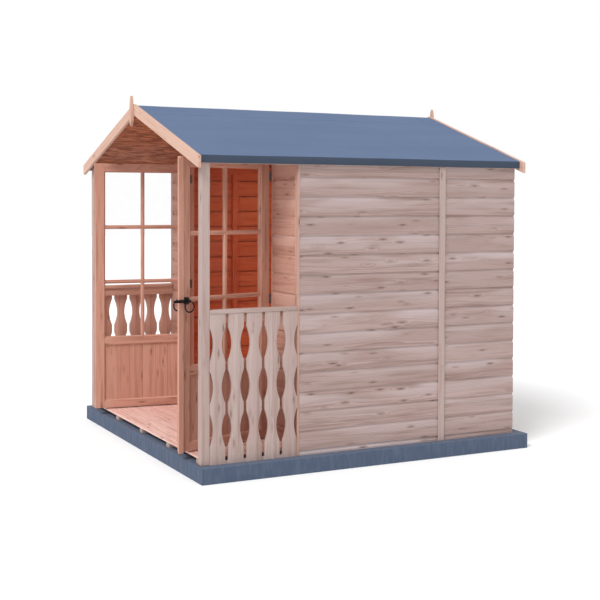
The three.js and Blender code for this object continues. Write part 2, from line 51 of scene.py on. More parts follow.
# ---- The studio ----
# A pale floor under an even white sky, with one broad soft lamp high in front and to the right.
# The camera stands at eye height, off the front right corner.
CAMERA_PLACE = Vector((6.8396, -3.4195, 1.5450))
CAMERA_TURN = math.radians(63.0)
CAMERA_DOWN = math.radians(1.444)
CAMERA_ROLL = math.radians(0.20)
SENSOR_WIDTH = 36
LENS = 69.416
LENS_SHIFT = -0.11837
SKY_LIGHT, SKY_SEEN = 0.80, 1.0
SUN_STRENGTH = 2.2
SUN_SPREAD = math.radians(25)
SUN_WAY = Vector((-0.37, 0.60, -0.75))
WARM_LIGHT = (1.0, 0.93, 0.88)
FLOOR_HALF = 40.0

ahead = Vector((-math.sin(CAMERA_TURN) * math.cos(CAMERA_DOWN),
                math.cos(CAMERA_TURN) * math.cos(CAMERA_DOWN), -math.sin(CAMERA_DOWN)))
level = ahead.cross(Vector((0, 0, 1))).normalized()
upward = level.cross(ahead)
right_hand = level * math.cos(CAMERA_ROLL) + upward * math.sin(CAMERA_ROLL)
top_hand = upward * math.cos(CAMERA_ROLL) - level * math.sin(CAMERA_ROLL)

camera = bpy.data.objects.new("camera", bpy.data.cameras.new("camera"))
scene.collection.objects.link(camera)
camera.matrix_world = Matrix((right_hand, top_hand, -ahead)).transposed().to_4x4()
camera.location = CAMERA_PLACE
camera.data.sensor_width = SENSOR_WIDTH
camera.data.lens = LENS
camera.data.shift_y = LENS_SHIFT
scene.camera = camera

scene.view_settings.view_transform = "Standard"
sky = bpy.data.worlds.new("sky")
sky.use_nodes = True
seen = sky.node_tree.nodes.new("ShaderNodeLightPath")
strength = sky.node_tree.nodes.new("ShaderNodeMapRange")
strength.inputs["To Min"].default_value = SKY_LIGHT
strength.inputs["To Max"].default_value = SKY_SEEN
sky.node_tree.links.new(seen.outputs["Is Camera Ray"], strength.inputs["Value"])
background = sky.node_tree.nodes["Background"]
background.inputs["Color"].default_value = (1, 1, 1, 1)
sky.node_tree.links.new(strength.outputs[0], background.inputs["Strength"])
scene.world = sky

lamp = bpy.data.objects.new("soft_lamp", bpy.data.lights.new("soft_lamp", "SUN"))
lamp.data.energy = SUN_STRENGTH
lamp.data.angle = SUN_SPREAD
lamp.rotation_euler = SUN_WAY.to_track_quat("-Z", "Y").to_euler()
scene.collection.objects.link(lamp)

# Two weak lamps, under the ridge and under the verandah's roof, open up the shade in there.
for name, place, size, watts in (("room_lamp", (0.0, 0.28, 1.90), 0.9, 4.6),
                                 ("verandah_lamp", (0.10, -0.80, 1.84), 0.40, 0.7)):
    lamp = bpy.data.objects.new(name, bpy.data.lights.new(name, "AREA"))
    lamp.data.shape = "DISK"
    lamp.data.size = size
    lamp.data.energy = watts
    lamp.data.color = WARM_LIGHT
    lamp.location = place
    scene.collection.objects.link(lamp)

corners = np.array([[-1, -1, 0], [1, -1, 0], [1, 1, 0], [-1, 1, 0]]) * FLOOR_HALF
floor_mesh = bpy.data.meshes.new("studio_floor")
floor_mesh.from_pydata(corners.tolist(), [], [[0, 1, 2, 3]])
studio_floor = bpy.data.objects.new("studio_floor", floor_mesh)
scene.collection.objects.link(studio_floor)


def add_node(tree, kind, inputs=None, **settings):
    """Adds one shader node. Each input is a number, a colour, or the output of another node."""
    made = tree.nodes.new("ShaderNode" + kind)
    for name, value in settings.items():
        setattr(made, name, value)
    for name, value in (inputs or {}).items():
        if isinstance(value, bpy.types.NodeSocket):
            tree.links.new(value, made.inputs[name])
        else:
            made.inputs[name].default_value = value
    return made


def sum_of(tree, operation, *values):
    """The output of one Math node that works on the values in turn."""
    return add_node(tree, "Math", dict(enumerate(values)), operation=operation).outputs[0]


def noise_on(tree, place, stretch, detail=2.0):
    """Noise between 0 and 1, read at place multiplied by stretch on each axis."""
    spread = add_node(tree, "VectorMath", {0: place, 1: stretch}, operation="MULTIPLY").outputs[0]
    return add_node(tree, "TexNoise", {"Vector": spread, "Scale": 1.0, "Detail": detail}).outputs[0]


def ramp_of(tree, value, low, high, low_out=0.0, high_out=1.0):
    """A smooth step of value: low_out below low, high_out above high."""
    made = add_node(tree, "MapRange", {"Value": value, "From Min": low, "From Max": high,
                                       "To Min": low_out, "To Max": high_out},
                    interpolation_type="SMOOTHSTEP")
    return made.outputs[0]


def mixed(tree, share, first, second, blend="MIX"):
    """Two colours mixed by share."""
    made = add_node(tree, "Mix", data_type="RGBA", blend_type=blend)
    for key, value in ((0, share), (6, first), (7, second)):
        if isinstance(value, bpy.types.NodeSocket):
            tree.links.new(value, made.inputs[key])
        else:
            made.inputs[key].default_value = value if key == 0 else (*value, 1)
    return made.outputs[2]


def new_finish(name):
    """An empty material, with its node tree and its surface shader."""
    material = bpy.data.materials.new(name)
    material.use_nodes = True
    tree = material.node_tree
    return material, tree, tree.nodes["Principled BSDF"]


def finish_surface(tree, shader, colour, roughness, height, depth):
    """Joins the colour, the roughness and a bump of that depth in metres to the shader."""
    bump = add_node(tree, "Bump", {"Height": height, "Distance": depth, "Strength": 0.8})
    tree.links.new(colour, shader.inputs["Base Color"])
    tree.links.new(roughness, shader.inputs["Roughness"])
    tree.links.new(bump.outputs[0], shader.inputs["Normal"])


def pale_floor_finish():
    """A matt white studio floor, with the faintest mottling."""
    material, tree, shader = new_finish("studio_floor")
    place = add_node(tree, "TexCoord").outputs["Object"]
    mottle = noise_on(tree, place, (0.8, 0.8, 0.8))
    finish_surface(tree, shader, mixed(tree, mottle, (0.93, 0.93, 0.93), (0.95, 0.95, 0.95)),
                   ramp_of(tree, mottle, 0, 1, 0.9, 1.0), mottle, 0.0002)
    return material


floor_mesh.materials.append(pale_floor_finish())


# ---- The plinth ----
# One low solid base, cast and painted slate blue. Its sides keep the upright marks of the
# boards that it was cast between. It stands a little proud of the walls all round.
PLINTH_EASE = 0.004


def rounded_rectangle(width, height, ease):
    """Corner c has its centre at (±(width/2 − ease), ±(height/2 − ease)). Point (c, t) is that
    centre + ease·(cos t, sin t), where t covers the quarter turn that faces away from the middle."""
    turn = np.radians(np.array([[0], [90], [180], [270]]) + np.array([[0, 45, 90]]))
    sign = np.array([[1, 1], [-1, 1], [-1, -1], [1, -1]])[:, None, :]
    centre = sign * (np.array([width, height]) / 2 - ease)
    return (centre + ease * np.stack([np.cos(turn), np.sin(turn)], -1)).reshape(-1, 2)


def board(low, high, along, ease=0.0015):
    """A straight board that fills the box from low to high. Point (s, t) = station s along its
    length, with point t of its eased outline across it; the end stations are drawn in by ease."""
    low, high = np.array(low, float), np.array(high, float)
    length_axis = "xyz".index(along)
    a, b = (length_axis + 1) % 3, (length_axis + 2) % 3
    size, middle = high - low, (low + high) / 2
    stations = np.array([low[length_axis], low[length_axis] + ease,
                         high[length_axis] - ease, high[length_axis]])
    outline = rounded_rectangle(size[a], size[b], ease)
    drawn_in = 1 - np.array([2 * ease, 0, 0, 2 * ease])[:, None] / np.array([size[a], size[b]])
    section = outline[None] * drawn_in[:, None, :]
    points = np.zeros((4, len(outline), 3))
    points[..., length_axis] = stations[:, None]
    points[..., a] = middle[a] + section[..., 0]
    points[..., b] = middle[b] + section[..., 1]
    grain = (points - middle)[..., [length_axis, a, b]]
    return {"points": points, "grain": grain, "tone": rng.random()}


def tube_faces(rows, columns, joined):
    """Quad (i, j) joins points (i, j), (i, j+1), (i+1, j+1) and (i+1, j), with j running round.
    A joined tube runs round in i as well, and any other gets one face over each end."""
    i, j = np.meshgrid(np.arange(rows if joined else rows - 1), np.arange(columns), indexing="ij")
    i_next, j_next = (i + 1) % rows, (j + 1) % columns
    quads = np.stack([i * columns + j, i * columns + j_next,
                      i_next * columns + j_next, i_next * columns + j], -1).reshape(-1, 4)
    ring = np.arange(columns)
    ends = [] if joined else [ring[::-1], ring + (rows - 1) * columns]
    return quads, ends


def is_inside_out(points, quads, ends):
    """A closed shape's volume is the sum of p0 · (p1 × p2) / 6 over its triangles; below zero,
    its faces point inwards."""
    fans = [np.stack([np.full(len(e) - 2, e[0]), e[1:-1], e[2:]], -1) for e in ends]
    triangles = np.concatenate([quads[:, [0, 1, 2]], quads[:, [0, 2, 3]], *fans])
    p = points - points.mean(0)
    p0, p1, p2 = p[triangles[:, 0]], p[triangles[:, 1]], p[triangles[:, 2]]
    return np.einsum("ij,ij->", p0, np.cross(p1, p2)) < 0


def make_piece(name, parts, materials, body, replaced=(), sharp=20):
    """Lays the parts' grids end to end in one mesh, with each point's grain, tone and pale share as
    attributes, and lets the piece ride on its body."""
    points, grain, tone, pale_share, faces, skins, start = [], [], [], [], [], [], 0
    for part in parts:
        rows, columns = part["points"].shape[:2]
        quads, ends = tube_faces(rows, columns, part.get("joined", False))
        flat = part["points"].reshape(-1, 3)
        if is_inside_out(flat, quads, ends):
            quads, ends = quads[:, ::-1], [e[::-1] for e in ends]
        faces += (quads + start).tolist() + [(e + start).tolist() for e in ends]
        skin = np.broadcast_to(part.get("skin", 0), (columns,))
        skins.append(np.concatenate([np.tile(skin, len(quads) // columns), np.zeros(len(ends))]))
        points.append(flat)
        grain.append(part["grain"].reshape(-1, 3))
        tone.append(np.full(len(flat), part["tone"]))
        pale_share.append(np.broadcast_to(part.get("pale_share", 0.0), (rows, columns)).ravel())
        start += len(flat)
    mesh = bpy.data.meshes.new(name)
    mesh.from_pydata(np.concatenate(points).tolist(), [], faces)
    attribute = mesh.attributes.new("grain", "FLOAT_VECTOR", "POINT")
    attribute.data.foreach_set("vector", np.concatenate(grain).astype(np.float32).ravel())
    for title, values in (("tone", tone), ("pale_share", pale_share)):
        attribute = mesh.attributes.new(title, "FLOAT", "POINT")
        attribute.data.foreach_set("value", np.concatenate(values).astype(np.float32))
    for material in materials:
        mesh.materials.append(material)
    mesh.polygons.foreach_set("material_index", np.concatenate(skins).astype(np.int32))
    mesh.polygons.foreach_set("use_smooth", np.ones(len(faces), bool))
    mesh.set_sharp_from_angle(angle=math.radians(sharp))
    mesh.update()
    piece = bpy.data.objects.new(name, mesh)
    scene.collection.objects.link(piece)
    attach(piece, body)
    if replaced:
        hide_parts(*replaced)
    return piece


def plinth_finish():
    """Slate-blue paint, rubbed and streaked from top to bottom over a rough cast face, with a painted
    highlight on its upward faces.
    """
    material, tree, shader = new_finish("plinth_paint")
    place = add_node(tree, "TexCoord").outputs["Object"]
    streaks = noise_on(tree, place, (75, 75, 9), 4)
    patches = noise_on(tree, place, (7, 7, 18), 3)
    pits = noise_on(tree, place, (420, 420, 260), 2)
    up = add_node(tree, "SeparateXYZ", {0: add_node(tree, "NewGeometry").outputs["Normal"]}).outputs[2]
    # The worn share mixes real streaks and patches of wear with a painted highlight that lightens faces
    # looking up.
    worn = sum_of(tree, "ADD", ramp_of(tree, streaks, 0.42, 0.72, 0, 0.28),
                  sum_of(tree, "ADD", ramp_of(tree, patches, 0.45, 0.8, 0, 0.25),
                         ramp_of(tree, up, 0.4, 0.9, 0, 0.45)))
    colour = mixed(tree, worn, (0.060, 0.086, 0.142), (0.118, 0.142, 0.195))
    colour = mixed(tree, ramp_of(tree, pits, 0.55, 0.75, 0, 0.5), colour, (0.035, 0.050, 0.085))
    height = sum_of(tree, "ADD", streaks, sum_of(tree, "MULTIPLY", pits, 0.5))
    finish_surface(tree, shader, colour, ramp_of(tree, streaks, 0.3, 0.7, 0.95, 0.75), height, 0.003)
    return material


plinth_low, plinth_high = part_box("plinth")
make_piece("plinth_base", [board(plinth_low, plinth_high, "x", PLINTH_EASE)], [plinth_finish()],
           "house", ["plinth"])


# ---- Floor joists and noggins ----
# Five sawn softwood joists run from front to back on the plinth, with two rows of noggins
# between them. Their ends show under the front edge of the floor.
JOISTS = 5
JOIST_WIDTH = 0.044
RINGS_PER_METRE = 230.0
GRAIN_DEPTH = 0.0007


def softwood_finish(name, pale, warm, late, knot_colour, paler_colour=(0.60, 0.52, 0.51), rings=0.45,
                    roughness=0.72):
    """Sawn or planed softwood. Growth rings are shells round a pith line that wanders beside the
    board: ring = fract(distance·rings per metre). Knots are blobs at scattered points, and pull the
    rings round them. Each board has its own tone, and the pale share is the share turned to the paler
    colour."""
    material, tree, shader = new_finish(name)
    grain = add_node(tree, "Attribute", attribute_name="grain").outputs["Vector"]
    tone = add_node(tree, "Attribute", attribute_name="tone").outputs["Fac"]
    shift = add_node(tree, "VectorMath", {0: (31.0, 17.0, 5.0), "Scale": tone}, operation="SCALE")
    place = add_node(tree, "VectorMath", {0: grain, 1: shift.outputs[0]}).outputs[0]
    axes = add_node(tree, "SeparateXYZ", {0: grain}).outputs

    wander = sum_of(tree, "MULTIPLY_ADD", noise_on(tree, place, (0.9, 5, 5)), 0.10, -0.05)
    pith_across = sum_of(tree, "MULTIPLY_ADD", sum_of(tree, "FRACT", sum_of(tree, "MULTIPLY", tone, 7.0)),
                         0.14, -0.07)
    pith_depth = sum_of(tree, "MULTIPLY_ADD", sum_of(tree, "FRACT", sum_of(tree, "MULTIPLY", tone, 13.0)),
                        0.07, 0.02)
    across = sum_of(tree, "ADD", sum_of(tree, "SUBTRACT", axes[1], pith_across), wander)
    depth = sum_of(tree, "SUBTRACT", axes[2], pith_depth)
    from_pith = sum_of(tree, "SQRT", sum_of(tree, "ADD", sum_of(tree, "MULTIPLY", across, across),
                                            sum_of(tree, "MULTIPLY", depth, depth)))

    spread = add_node(tree, "VectorMath", {0: place, 1: (5.0, 21.0, 21.0)}, operation="MULTIPLY")
    cells = add_node(tree, "TexVoronoi", {"Vector": spread.outputs[0], "Scale": 1.0})
    to_knot = cells.outputs["Distance"]
    knot = ramp_of(tree, to_knot, 0.13, 0.04)
    rim = sum_of(tree, "MULTIPLY", ramp_of(tree, to_knot, 0.24, 0.11), 0.45)
    pull = ramp_of(tree, to_knot, 0.40, 0.0, 0, 1.4)

    phase = sum_of(tree, "MULTIPLY_ADD", from_pith, RINGS_PER_METRE, pull)
    phase = sum_of(tree, "ADD", phase, noise_on(tree, place, (2.5, 25, 25)))
    ring = sum_of(tree, "POWER", sum_of(tree, "FRACT", phase), 2.5)
    fibres = noise_on(tree, place, (10, 330, 330))
    streaks = noise_on(tree, place, (2.2, 38, 38), 4)
    clouds = noise_on(tree, place, (1.3, 7, 7), 2)

    board_tone = sum_of(tree, "ADD", sum_of(tree, "MULTIPLY", tone, 0.55),
                        ramp_of(tree, clouds, 0.3, 0.75, 0, 0.45))
    colour = mixed(tree, board_tone, pale, warm)
    colour = mixed(tree, ramp_of(tree, streaks, 0.47, 0.74, 0, 0.62), colour, late)
    colour = mixed(tree, sum_of(tree, "MULTIPLY", ring, rings), colour, late)
    colour = mixed(tree, ramp_of(tree, fibres, 0.5, 0.8, 0, 0.30), colour, late)
    pale_share = add_node(tree, "Attribute", attribute_name="pale_share").outputs["Fac"]
    patches = ramp_of(tree, noise_on(tree, place, (1.9, 14, 14)), 0.34, 0.62, 0, 0.8)
    colour = mixed(tree, sum_of(tree, "MULTIPLY", pale_share, patches), colour, paler_colour)
    colour = mixed(tree, rim, colour, late)
    colour = mixed(tree, sum_of(tree, "MULTIPLY", knot, 0.65), colour, knot_colour)

    height = sum_of(tree, "ADD", sum_of(tree, "MULTIPLY", ring, 0.45), fibres)
    height = sum_of(tree, "SUBTRACT", height, sum_of(tree, "MULTIPLY", rim, 0.8))
    finish_surface(tree, shader, colour,
                   ramp_of(tree, streaks, 0.3, 0.7, roughness - 0.08, roughness + 0.1), height, GRAIN_DEPTH)
    return material


planed_timber = softwood_finish("planed_timber", (0.455, 0.350, 0.325), (0.400, 0.290, 0.262),
                                (0.275, 0.178, 0.150), (0.13, 0.070, 0.050), (0.46, 0.40, 0.40))

joists_low, joists_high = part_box("floor_joists")
joist_middles = np.linspace(joists_low.x + JOIST_WIDTH / 2, joists_high.x - JOIST_WIDTH / 2, JOISTS)
joists = [board((x - JOIST_WIDTH / 2, joists_low.y, joists_low.z),
                (x + JOIST_WIDTH / 2, joists_high.y, joists_high.z), "y") for x in joist_middles]
quarter_depth = (joists_high.y - joists_low.y) / 4
for y in (joists_low.y + quarter_depth, joists_high.y - quarter_depth):
    for left, right in zip(joist_middles[:-1], joist_middles[1:]):
        joists.append(board((left + JOIST_WIDTH / 2, y, joists_low.z),
                            (right - JOIST_WIDTH / 2, y + JOIST_WIDTH, joists_high.z), "x"))
make_piece("joists", joists, [planed_timber], "house", ["floor_joists"])


# ---- Floor boards ----
# Tongued and grooved softwood boards run across the house from side to side, nailed to the
# joists. Each has eased upper edges, which leave a fine groove at every joint.
FLOOR_BOARDS = 20
FLOOR_JOINT = 0.0036
FLOOR_EASE = 0.0030
FLOOR_NAIL_SIDE = 0.03
NAIL_RADIUS = 0.0030


def nail_heads(centres, out, radius=NAIL_RADIUS, rise=0.0006):
    """Low round heads. Point (s, t) of a head = centre + radius·r(s)·(cos t, sin t) across the
    direction out, raised by rise·h(s)."""
    out = np.array(out, float) / np.linalg.norm(out)
    side = np.cross(out, (0.31, 0.43, 0.85))
    side /= np.linalg.norm(side)
    turn = np.linspace(0, 2 * np.pi, 8, endpoint=False)
    circle = np.cos(turn)[:, None] * side + np.sin(turn)[:, None] * np.cross(out, side)
    share = np.array([1.0, 1.0, 0.6])[:, None, None]
    lift = np.array([-1.0, 0.35, 1.0])[:, None, None]
    head = radius * share * circle + rise * lift * out
    return [{"points": head + np.array(c), "grain": head, "tone": rng.random()} for c in centres]


def nail_finish():
    """Zinc-coated steel, dulled and specked."""
    material, tree, shader = new_finish("nail_steel")
    place = add_node(tree, "TexCoord").outputs["Object"]
    specks = noise_on(tree, place, (900, 900, 900))
    shader.inputs["Metallic"].default_value = 0.8
    finish_surface(tree, shader, mixed(tree, specks, (0.24, 0.19, 0.17), (0.44, 0.38, 0.35)),
                   ramp_of(tree, specks, 0.3, 0.7, 0.4, 0.7), specks, 0.0001)
    return material


nail_steel = nail_finish()
floor_wood = softwood_finish("floor_wood", (0.90, 0.67, 0.61), (0.76, 0.45, 0.39),
                             (0.46, 0.22, 0.17), (0.22, 0.095, 0.070), rings=0.6)
floor_low, floor_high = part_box("floor")
edges = np.linspace(floor_low.y, floor_high.y, FLOOR_BOARDS + 1)
floor_boards = [board((floor_low.x, y0 + FLOOR_JOINT / 2, floor_low.z),
                      (floor_high.x, y1 - FLOOR_JOINT / 2, floor_high.z), "x", FLOOR_EASE)
                for y0, y1 in zip(edges[:-1], edges[1:])]
make_piece("floor_boards", floor_boards, [floor_wood], "house", ["floor"])
make_piece("floor_nails", nail_heads([(x, (y0 + y1) / 2 + shift, floor_high.z)
                                      for x in joist_middles[1:-1]
                                      for y0, y1 in zip(edges[:-1], edges[1:])
                                      for shift in (-FLOOR_NAIL_SIDE, FLOOR_NAIL_SIDE)], (0, 0, 1)),
           [nail_steel], "house")


# ---- Side walls ----
# Shiplap boards, 12 mm thick, lie in courses of 111 mm. The top of each board is hollowed to a
# cove, and the foot of the next laps over its tongue. Each wall is two panels, butted at a seam.
SIDES = (("right", 1), ("left", -1))
COURSE = 0.1111
FIRST_JOINT = 0.030
COVE_HEIGHT = 0.020
COVE_DEPTH = 0.0065
TONGUE = 0.007
WARP = 0.0004
WARP_WAVES = 1.3
WARPED_DEPTH = 0.0062
BACK_EASE = 0.0015
# Each course turns paler towards its top: from this share of its height, over this run, by these amounts.
PALER_FROM, PALER_RUN = 0.35, 0.6
PALER_LEAST, PALER_MORE = 0.35, 0.65
PANEL_GAP = 0.0008
PITCH = math.radians(18.2)
slope = math.tan(PITCH)


def course_outline(foot, next_joint, top, thickness):
    """Outline (out, up) of one course. From its foot the face is flat, and then follows the cove
    (−depth·sin a, height·(1 − cos a)) to the joint; a thin tongue stands on into the next course."""
    front = [(0, foot)]
    if next_joint + TONGUE < top:
        arc = np.linspace(0, np.pi / 2, 8)
        front += list(zip(-COVE_DEPTH * np.sin(arc),
                          next_joint - COVE_HEIGHT + COVE_HEIGHT * (1 - np.cos(arc))))
        crest = next_joint + TONGUE
        back = [(-COVE_DEPTH, crest), (BACK_EASE - thickness, crest), (-thickness, crest - BACK_EASE)]
    else:
        back = [(0, top), (-thickness, top)]
    outline = np.array([*front, *back, (-thickness, foot)], float)
    on_back = np.isclose(outline[:, 0], -thickness)
    return outline, (on_back & np.roll(on_back, -1)).astype(int)


def shiplap(start, end, foot, top, joints_from, thickness, place, stations=9):
    """Courses of one panel. Point (s, t) = start(up) + s·(end(up) − start(up)) along the wall, with
    (out, up) from the course outline t. The face is warped inwards by WARP·(1 − sin(a)), where a
    runs along the board. Each course turns paler towards its top, to a limit of its own."""
    courses = []
    lowest = math.floor((foot - joints_from) / COURSE)
    for k in range(lowest, math.ceil((top - joints_from) / COURSE)):
        joint = joints_from + k * COURSE
        outline, skin = course_outline(max(foot, joint), joint + COURSE, top, thickness)
        out, up = outline[:, 0], outline[:, 1]
        s = np.linspace(0, 1, stations)[:, None]
        first, last = start(up), end(up)
        along = first + s * (last - first)
        tone = rng.random()
        warp = WARP * (np.sin(2 * np.pi * (WARP_WAVES * s + tone)) - 1)
        shape = np.broadcast_to(along, (stations, len(out)))
        rise = np.broadcast_to(up, shape.shape)
        away = out[None, :] + warp * (out[None, :] > -WARPED_DEPTH)
        points = place(shape, away, rise)
        grain = np.stack([shape, rise - joint - COURSE / 2, away], -1)
        above = np.clip((rise - joint - PALER_FROM * COURSE) / (PALER_RUN * COURSE), 0, 1)
        courses.append({"points": points, "grain": grain, "tone": tone, "skin": skin,
                        "pale_share": above * (PALER_LEAST + PALER_MORE * rng.random())})
    return courses


cladding_wood = softwood_finish("cladding_wood", (0.420, 0.302, 0.282), (0.350, 0.245, 0.222),
                                (0.205, 0.125, 0.100), (0.085, 0.045, 0.034), (0.520, 0.440, 0.445),
                                rings=0.6)
# The boards under the verandah's roof are the cladding wood painted warmer and redder: a painted warm
# shade.
warm_shade_boards = softwood_finish("warm_shade_boards", (0.54, 0.285, 0.215), (0.45, 0.210, 0.150),
                                   (0.29, 0.110, 0.072), (0.14, 0.052, 0.034), (0.60, 0.37, 0.31))
# The inner faces, battens and ridge take a saturated orange: painted warm bounce light of the room.
bounce_lit_lining = softwood_finish("bounce_lit_lining", (0.76, 0.185, 0.060), (0.66, 0.135, 0.042),
                              (0.42, 0.075, 0.028), (0.16, 0.030, 0.012), (0.76, 0.20, 0.08))
post_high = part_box("right_post")[1]
half_width = post_high.x
wall_top = post_high.z


def deck_under(x):
    """Height of the roof deck's underside above a place x from the middle of the house."""
    return wall_top + (half_width - np.abs(x)) * slope


joints_from = plinth_high.z + FIRST_JOINT
seam_of = {}
for side, sign in SIDES:
    low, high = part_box(f"{side}_cladding")
    seam_low, seam_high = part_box(f"{side}_cover_strip")
    seam = seam_of[side] = (seam_low.y + seam_high.y) / 2
    thickness = high.x - low.x

    def on_side(along, away, rise, sign=sign):
        """A point of this side wall, away outwards from its face."""
        return np.stack([sign * (half_width + away), along, rise], -1)

    courses = []
    for y0, y1 in ((low.y, seam - PANEL_GAP), (seam + PANEL_GAP, high.y)):
        courses += shiplap(lambda up, y0=y0: np.full_like(up, y0), lambda up, y1=y1: np.full_like(up, y1),
                           low.z, wall_top, joints_from, thickness, on_side)
    # Inner faces of the boards take the orange finish, painted warm bounce light.
    make_piece(f"{side}_wall_boards", courses, [cladding_wood, bounce_lit_lining], "house",
               [f"{side}_cladding"])


# ---- Side wall frames ----
# Sawn battens stand behind the boards, between a sill and a plate, and a pair meets at the seam.
# One nail a course goes through the boards into each batten.
STUD = 0.044
NAIL_UP = 0.035
nail_rows = np.arange(plinth_high.z + NAIL_UP + FIRST_JOINT, wall_top - STUD, COURSE)


def wall_frame(low, high, stud_edges, sill_top, plate_low, plate_top, long_axis):
    """A sill and a plate for the whole length, with studs between them at the given edges."""
    parts = [board(low, (high.x, high.y, sill_top), long_axis),
             board((low.x, low.y, plate_low), (high.x, high.y, plate_top), long_axis)]
    for e0, e1 in stud_edges:
        (x0, x1), (y0, y1) = (low.x, high.x), (e0, e1)
        if long_axis == "x":
            (x0, x1), (y0, y1) = (e0, e1), (low.y, high.y)
        parts.append(board((x0, y0, sill_top), (x1, y1, plate_low), "z"))
    return parts


for side, sign in SIDES:
    low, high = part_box(f"{side}_wall_frame")
    seam = seam_of[side]
    between = (low.y + seam) / 2
    studs = [(low.y, low.y + STUD), (between - STUD / 2, between + STUD / 2),
             (seam - STUD, seam), (seam, seam + STUD), (high.y - STUD, high.y)]
    plate_top = deck_under(max(abs(low.x), abs(high.x)))
    make_piece(f"{side}_wall_battens",
               wall_frame(low, high, studs, floor_high.z + STUD, plate_top - STUD, plate_top, "y"),
               [bounce_lit_lining], "house", [f"{side}_wall_frame"])
    make_piece(f"{side}_wall_nails",
               nail_heads([(sign * half_width, (e0 + e1) / 2, z) for e0, e1 in studs
                           for z in nail_rows], (sign, 0, 0)), [nail_steel], "house")


# ---- Back wall ----
# The same shiplap boards close the back, cut to the pitch of the roof, and the battens behind
# them stand between a sill and a tie that crosses at the height of the eaves.
back_low, back_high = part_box("back_cladding")
apex = deck_under(0.0)
GABLE_TIP = 0.004


def gable_half(up, half):
    """Half the gable's width at a height: the half given, or less where the roof cuts it."""
    return np.minimum(half, (apex - up) / slope)


def on_back(along, away, rise):
    """A point of the back wall, away outwards from its face."""
    return np.stack([along, back_high.y + away, rise], -1)


def to_slope(half, sign=1):
    """Where a course ends, at each height: sign·gable_half(up, half)."""
    return lambda up: sign * gable_half(up, half)


back_half = back_high.x
make_piece("back_wall_boards",
           shiplap(to_slope(back_half, -1), to_slope(back_half), back_low.z, apex - GABLE_TIP,
                   joints_from, back_high.y - back_low.y, on_back),
           [cladding_wood, bounce_lit_lining], "house", ["back_cladding"])
low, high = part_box("back_wall_frame")
outer_stud = high.x - STUD / 2
stud_middles = np.array([-outer_stud, -outer_stud / 3, outer_stud / 3, outer_stud])
ridge_low, ridge_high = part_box("ridge_beam")
tie_low = deck_under(high.x) - (ridge_high.z - ridge_low.z) - STUD
back_battens = wall_frame(low, high, [(x - STUD / 2, x + STUD / 2) for x in stud_middles],
                          floor_high.z + STUD, tie_low, tie_low + STUD, "x")
for x in stud_middles[1:3]:
    reach = deck_under(abs(x) + STUD / 2) - (ridge_high.z - ridge_low.z)
    back_battens.append(board((x - STUD / 2, low.y, tie_low + STUD), (x + STUD / 2, high.y, reach), "z"))
make_piece("back_wall_battens", back_battens, [bounce_lit_lining], "house", ["back_wall_frame"])
make_piece("back_wall_nails",
           nail_heads([(x, back_high.y, z) for x in stud_middles for z in nail_rows], (0, 1, 0)),
           [nail_steel], "house")


# ---- Front wall ----
# Short lengths of the same boards stand beside the doorway, and a gable of them closes the roof
# space above its head. Under the verandah's roof their colour is painted warmer and redder, a painted warm
# shade.
def on_front(along, away, rise):
    """A point of the front wall, away outwards from its face."""
    return np.stack([along, front_face - away, rise], -1)


gable_low, gable_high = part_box("front_gable_cladding")
front_face = gable_low.y
wall_thickness = gable_high.y - gable_low.y
for side, sign in SIDES:
    low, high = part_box(f"front_{side}_cladding")
    inner, outer = sorted((abs(low.x), abs(high.x)))
    make_piece(f"front_{side}_boards",
               shiplap(lambda up, i=inner, s=sign: np.full_like(up, s * i), to_slope(outer, sign),
                       low.z, high.z, joints_from, wall_thickness, on_front),
               [warm_shade_boards, bounce_lit_lining], "house", [f"front_{side}_cladding"])
make_piece("front_gable_boards",
           shiplap(to_slope(back_half, -1), to_slope(back_half), gable_low.z, apex - GABLE_TIP,
                   joints_from, wall_thickness, on_front),
           [warm_shade_boards, bounce_lit_lining], "house", ["front_gable_cladding"])


# ---- Doorway ----
# Each jamb is a planed strip that shows beside the boards, with a batten nailed behind it,
# and the head over the doors is made the same way. Under the verandah's roof the timber is painted warmer
# and redder, a painted warm shade.
TOUCH_GAP = 0.0003
TRIM_EASE = 0.002
HEAD_BACK_SHORT = 0.020
# The timber under the verandah's roof is the planed wood painted warmer and redder: a painted warm shade.
warm_shade_timber = softwood_finish("warm_shade_timber", (0.66, 0.37, 0.28), (0.58, 0.29, 0.205),
                                   (0.38, 0.155, 0.105), (0.16, 0.062, 0.040), (0.68, 0.42, 0.34))
for side, sign in SIDES:
    low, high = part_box(f"{side}_door_jamb")
    cladding_low, cladding_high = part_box(f"front_{side}_cladding")
    opening, stud_back = sorted((abs(low.x), abs(high.x)))
    face = min(abs(cladding_low.x), abs(cladding_high.x)) - TOUCH_GAP
    behind = front_face + wall_thickness
    strips = []
    for x0, x1, y0 in ((opening, face, low.y), (face, stud_back, behind + TOUCH_GAP)):
        ends = sorted((sign * x0, sign * x1))
        strips.append(board((ends[0], y0, low.z), (ends[1], high.y, high.z), "z", TRIM_EASE))
    make_piece(f"{side}_jamb", strips, [warm_shade_timber], "house", [f"{side}_door_jamb"])
low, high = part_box("door_head")
head_face = gable_low.z - TOUCH_GAP
make_piece("doorway_head",
           [board((low.x, low.y, low.z), (high.x, high.y, head_face), "x", TRIM_EASE),
            board((low.x + HEAD_BACK_SHORT, front_face + wall_thickness, head_face),
                  (high.x - HEAD_BACK_SHORT, high.y, high.z), "x")],
           [warm_shade_timber], "house", ["door_head"])


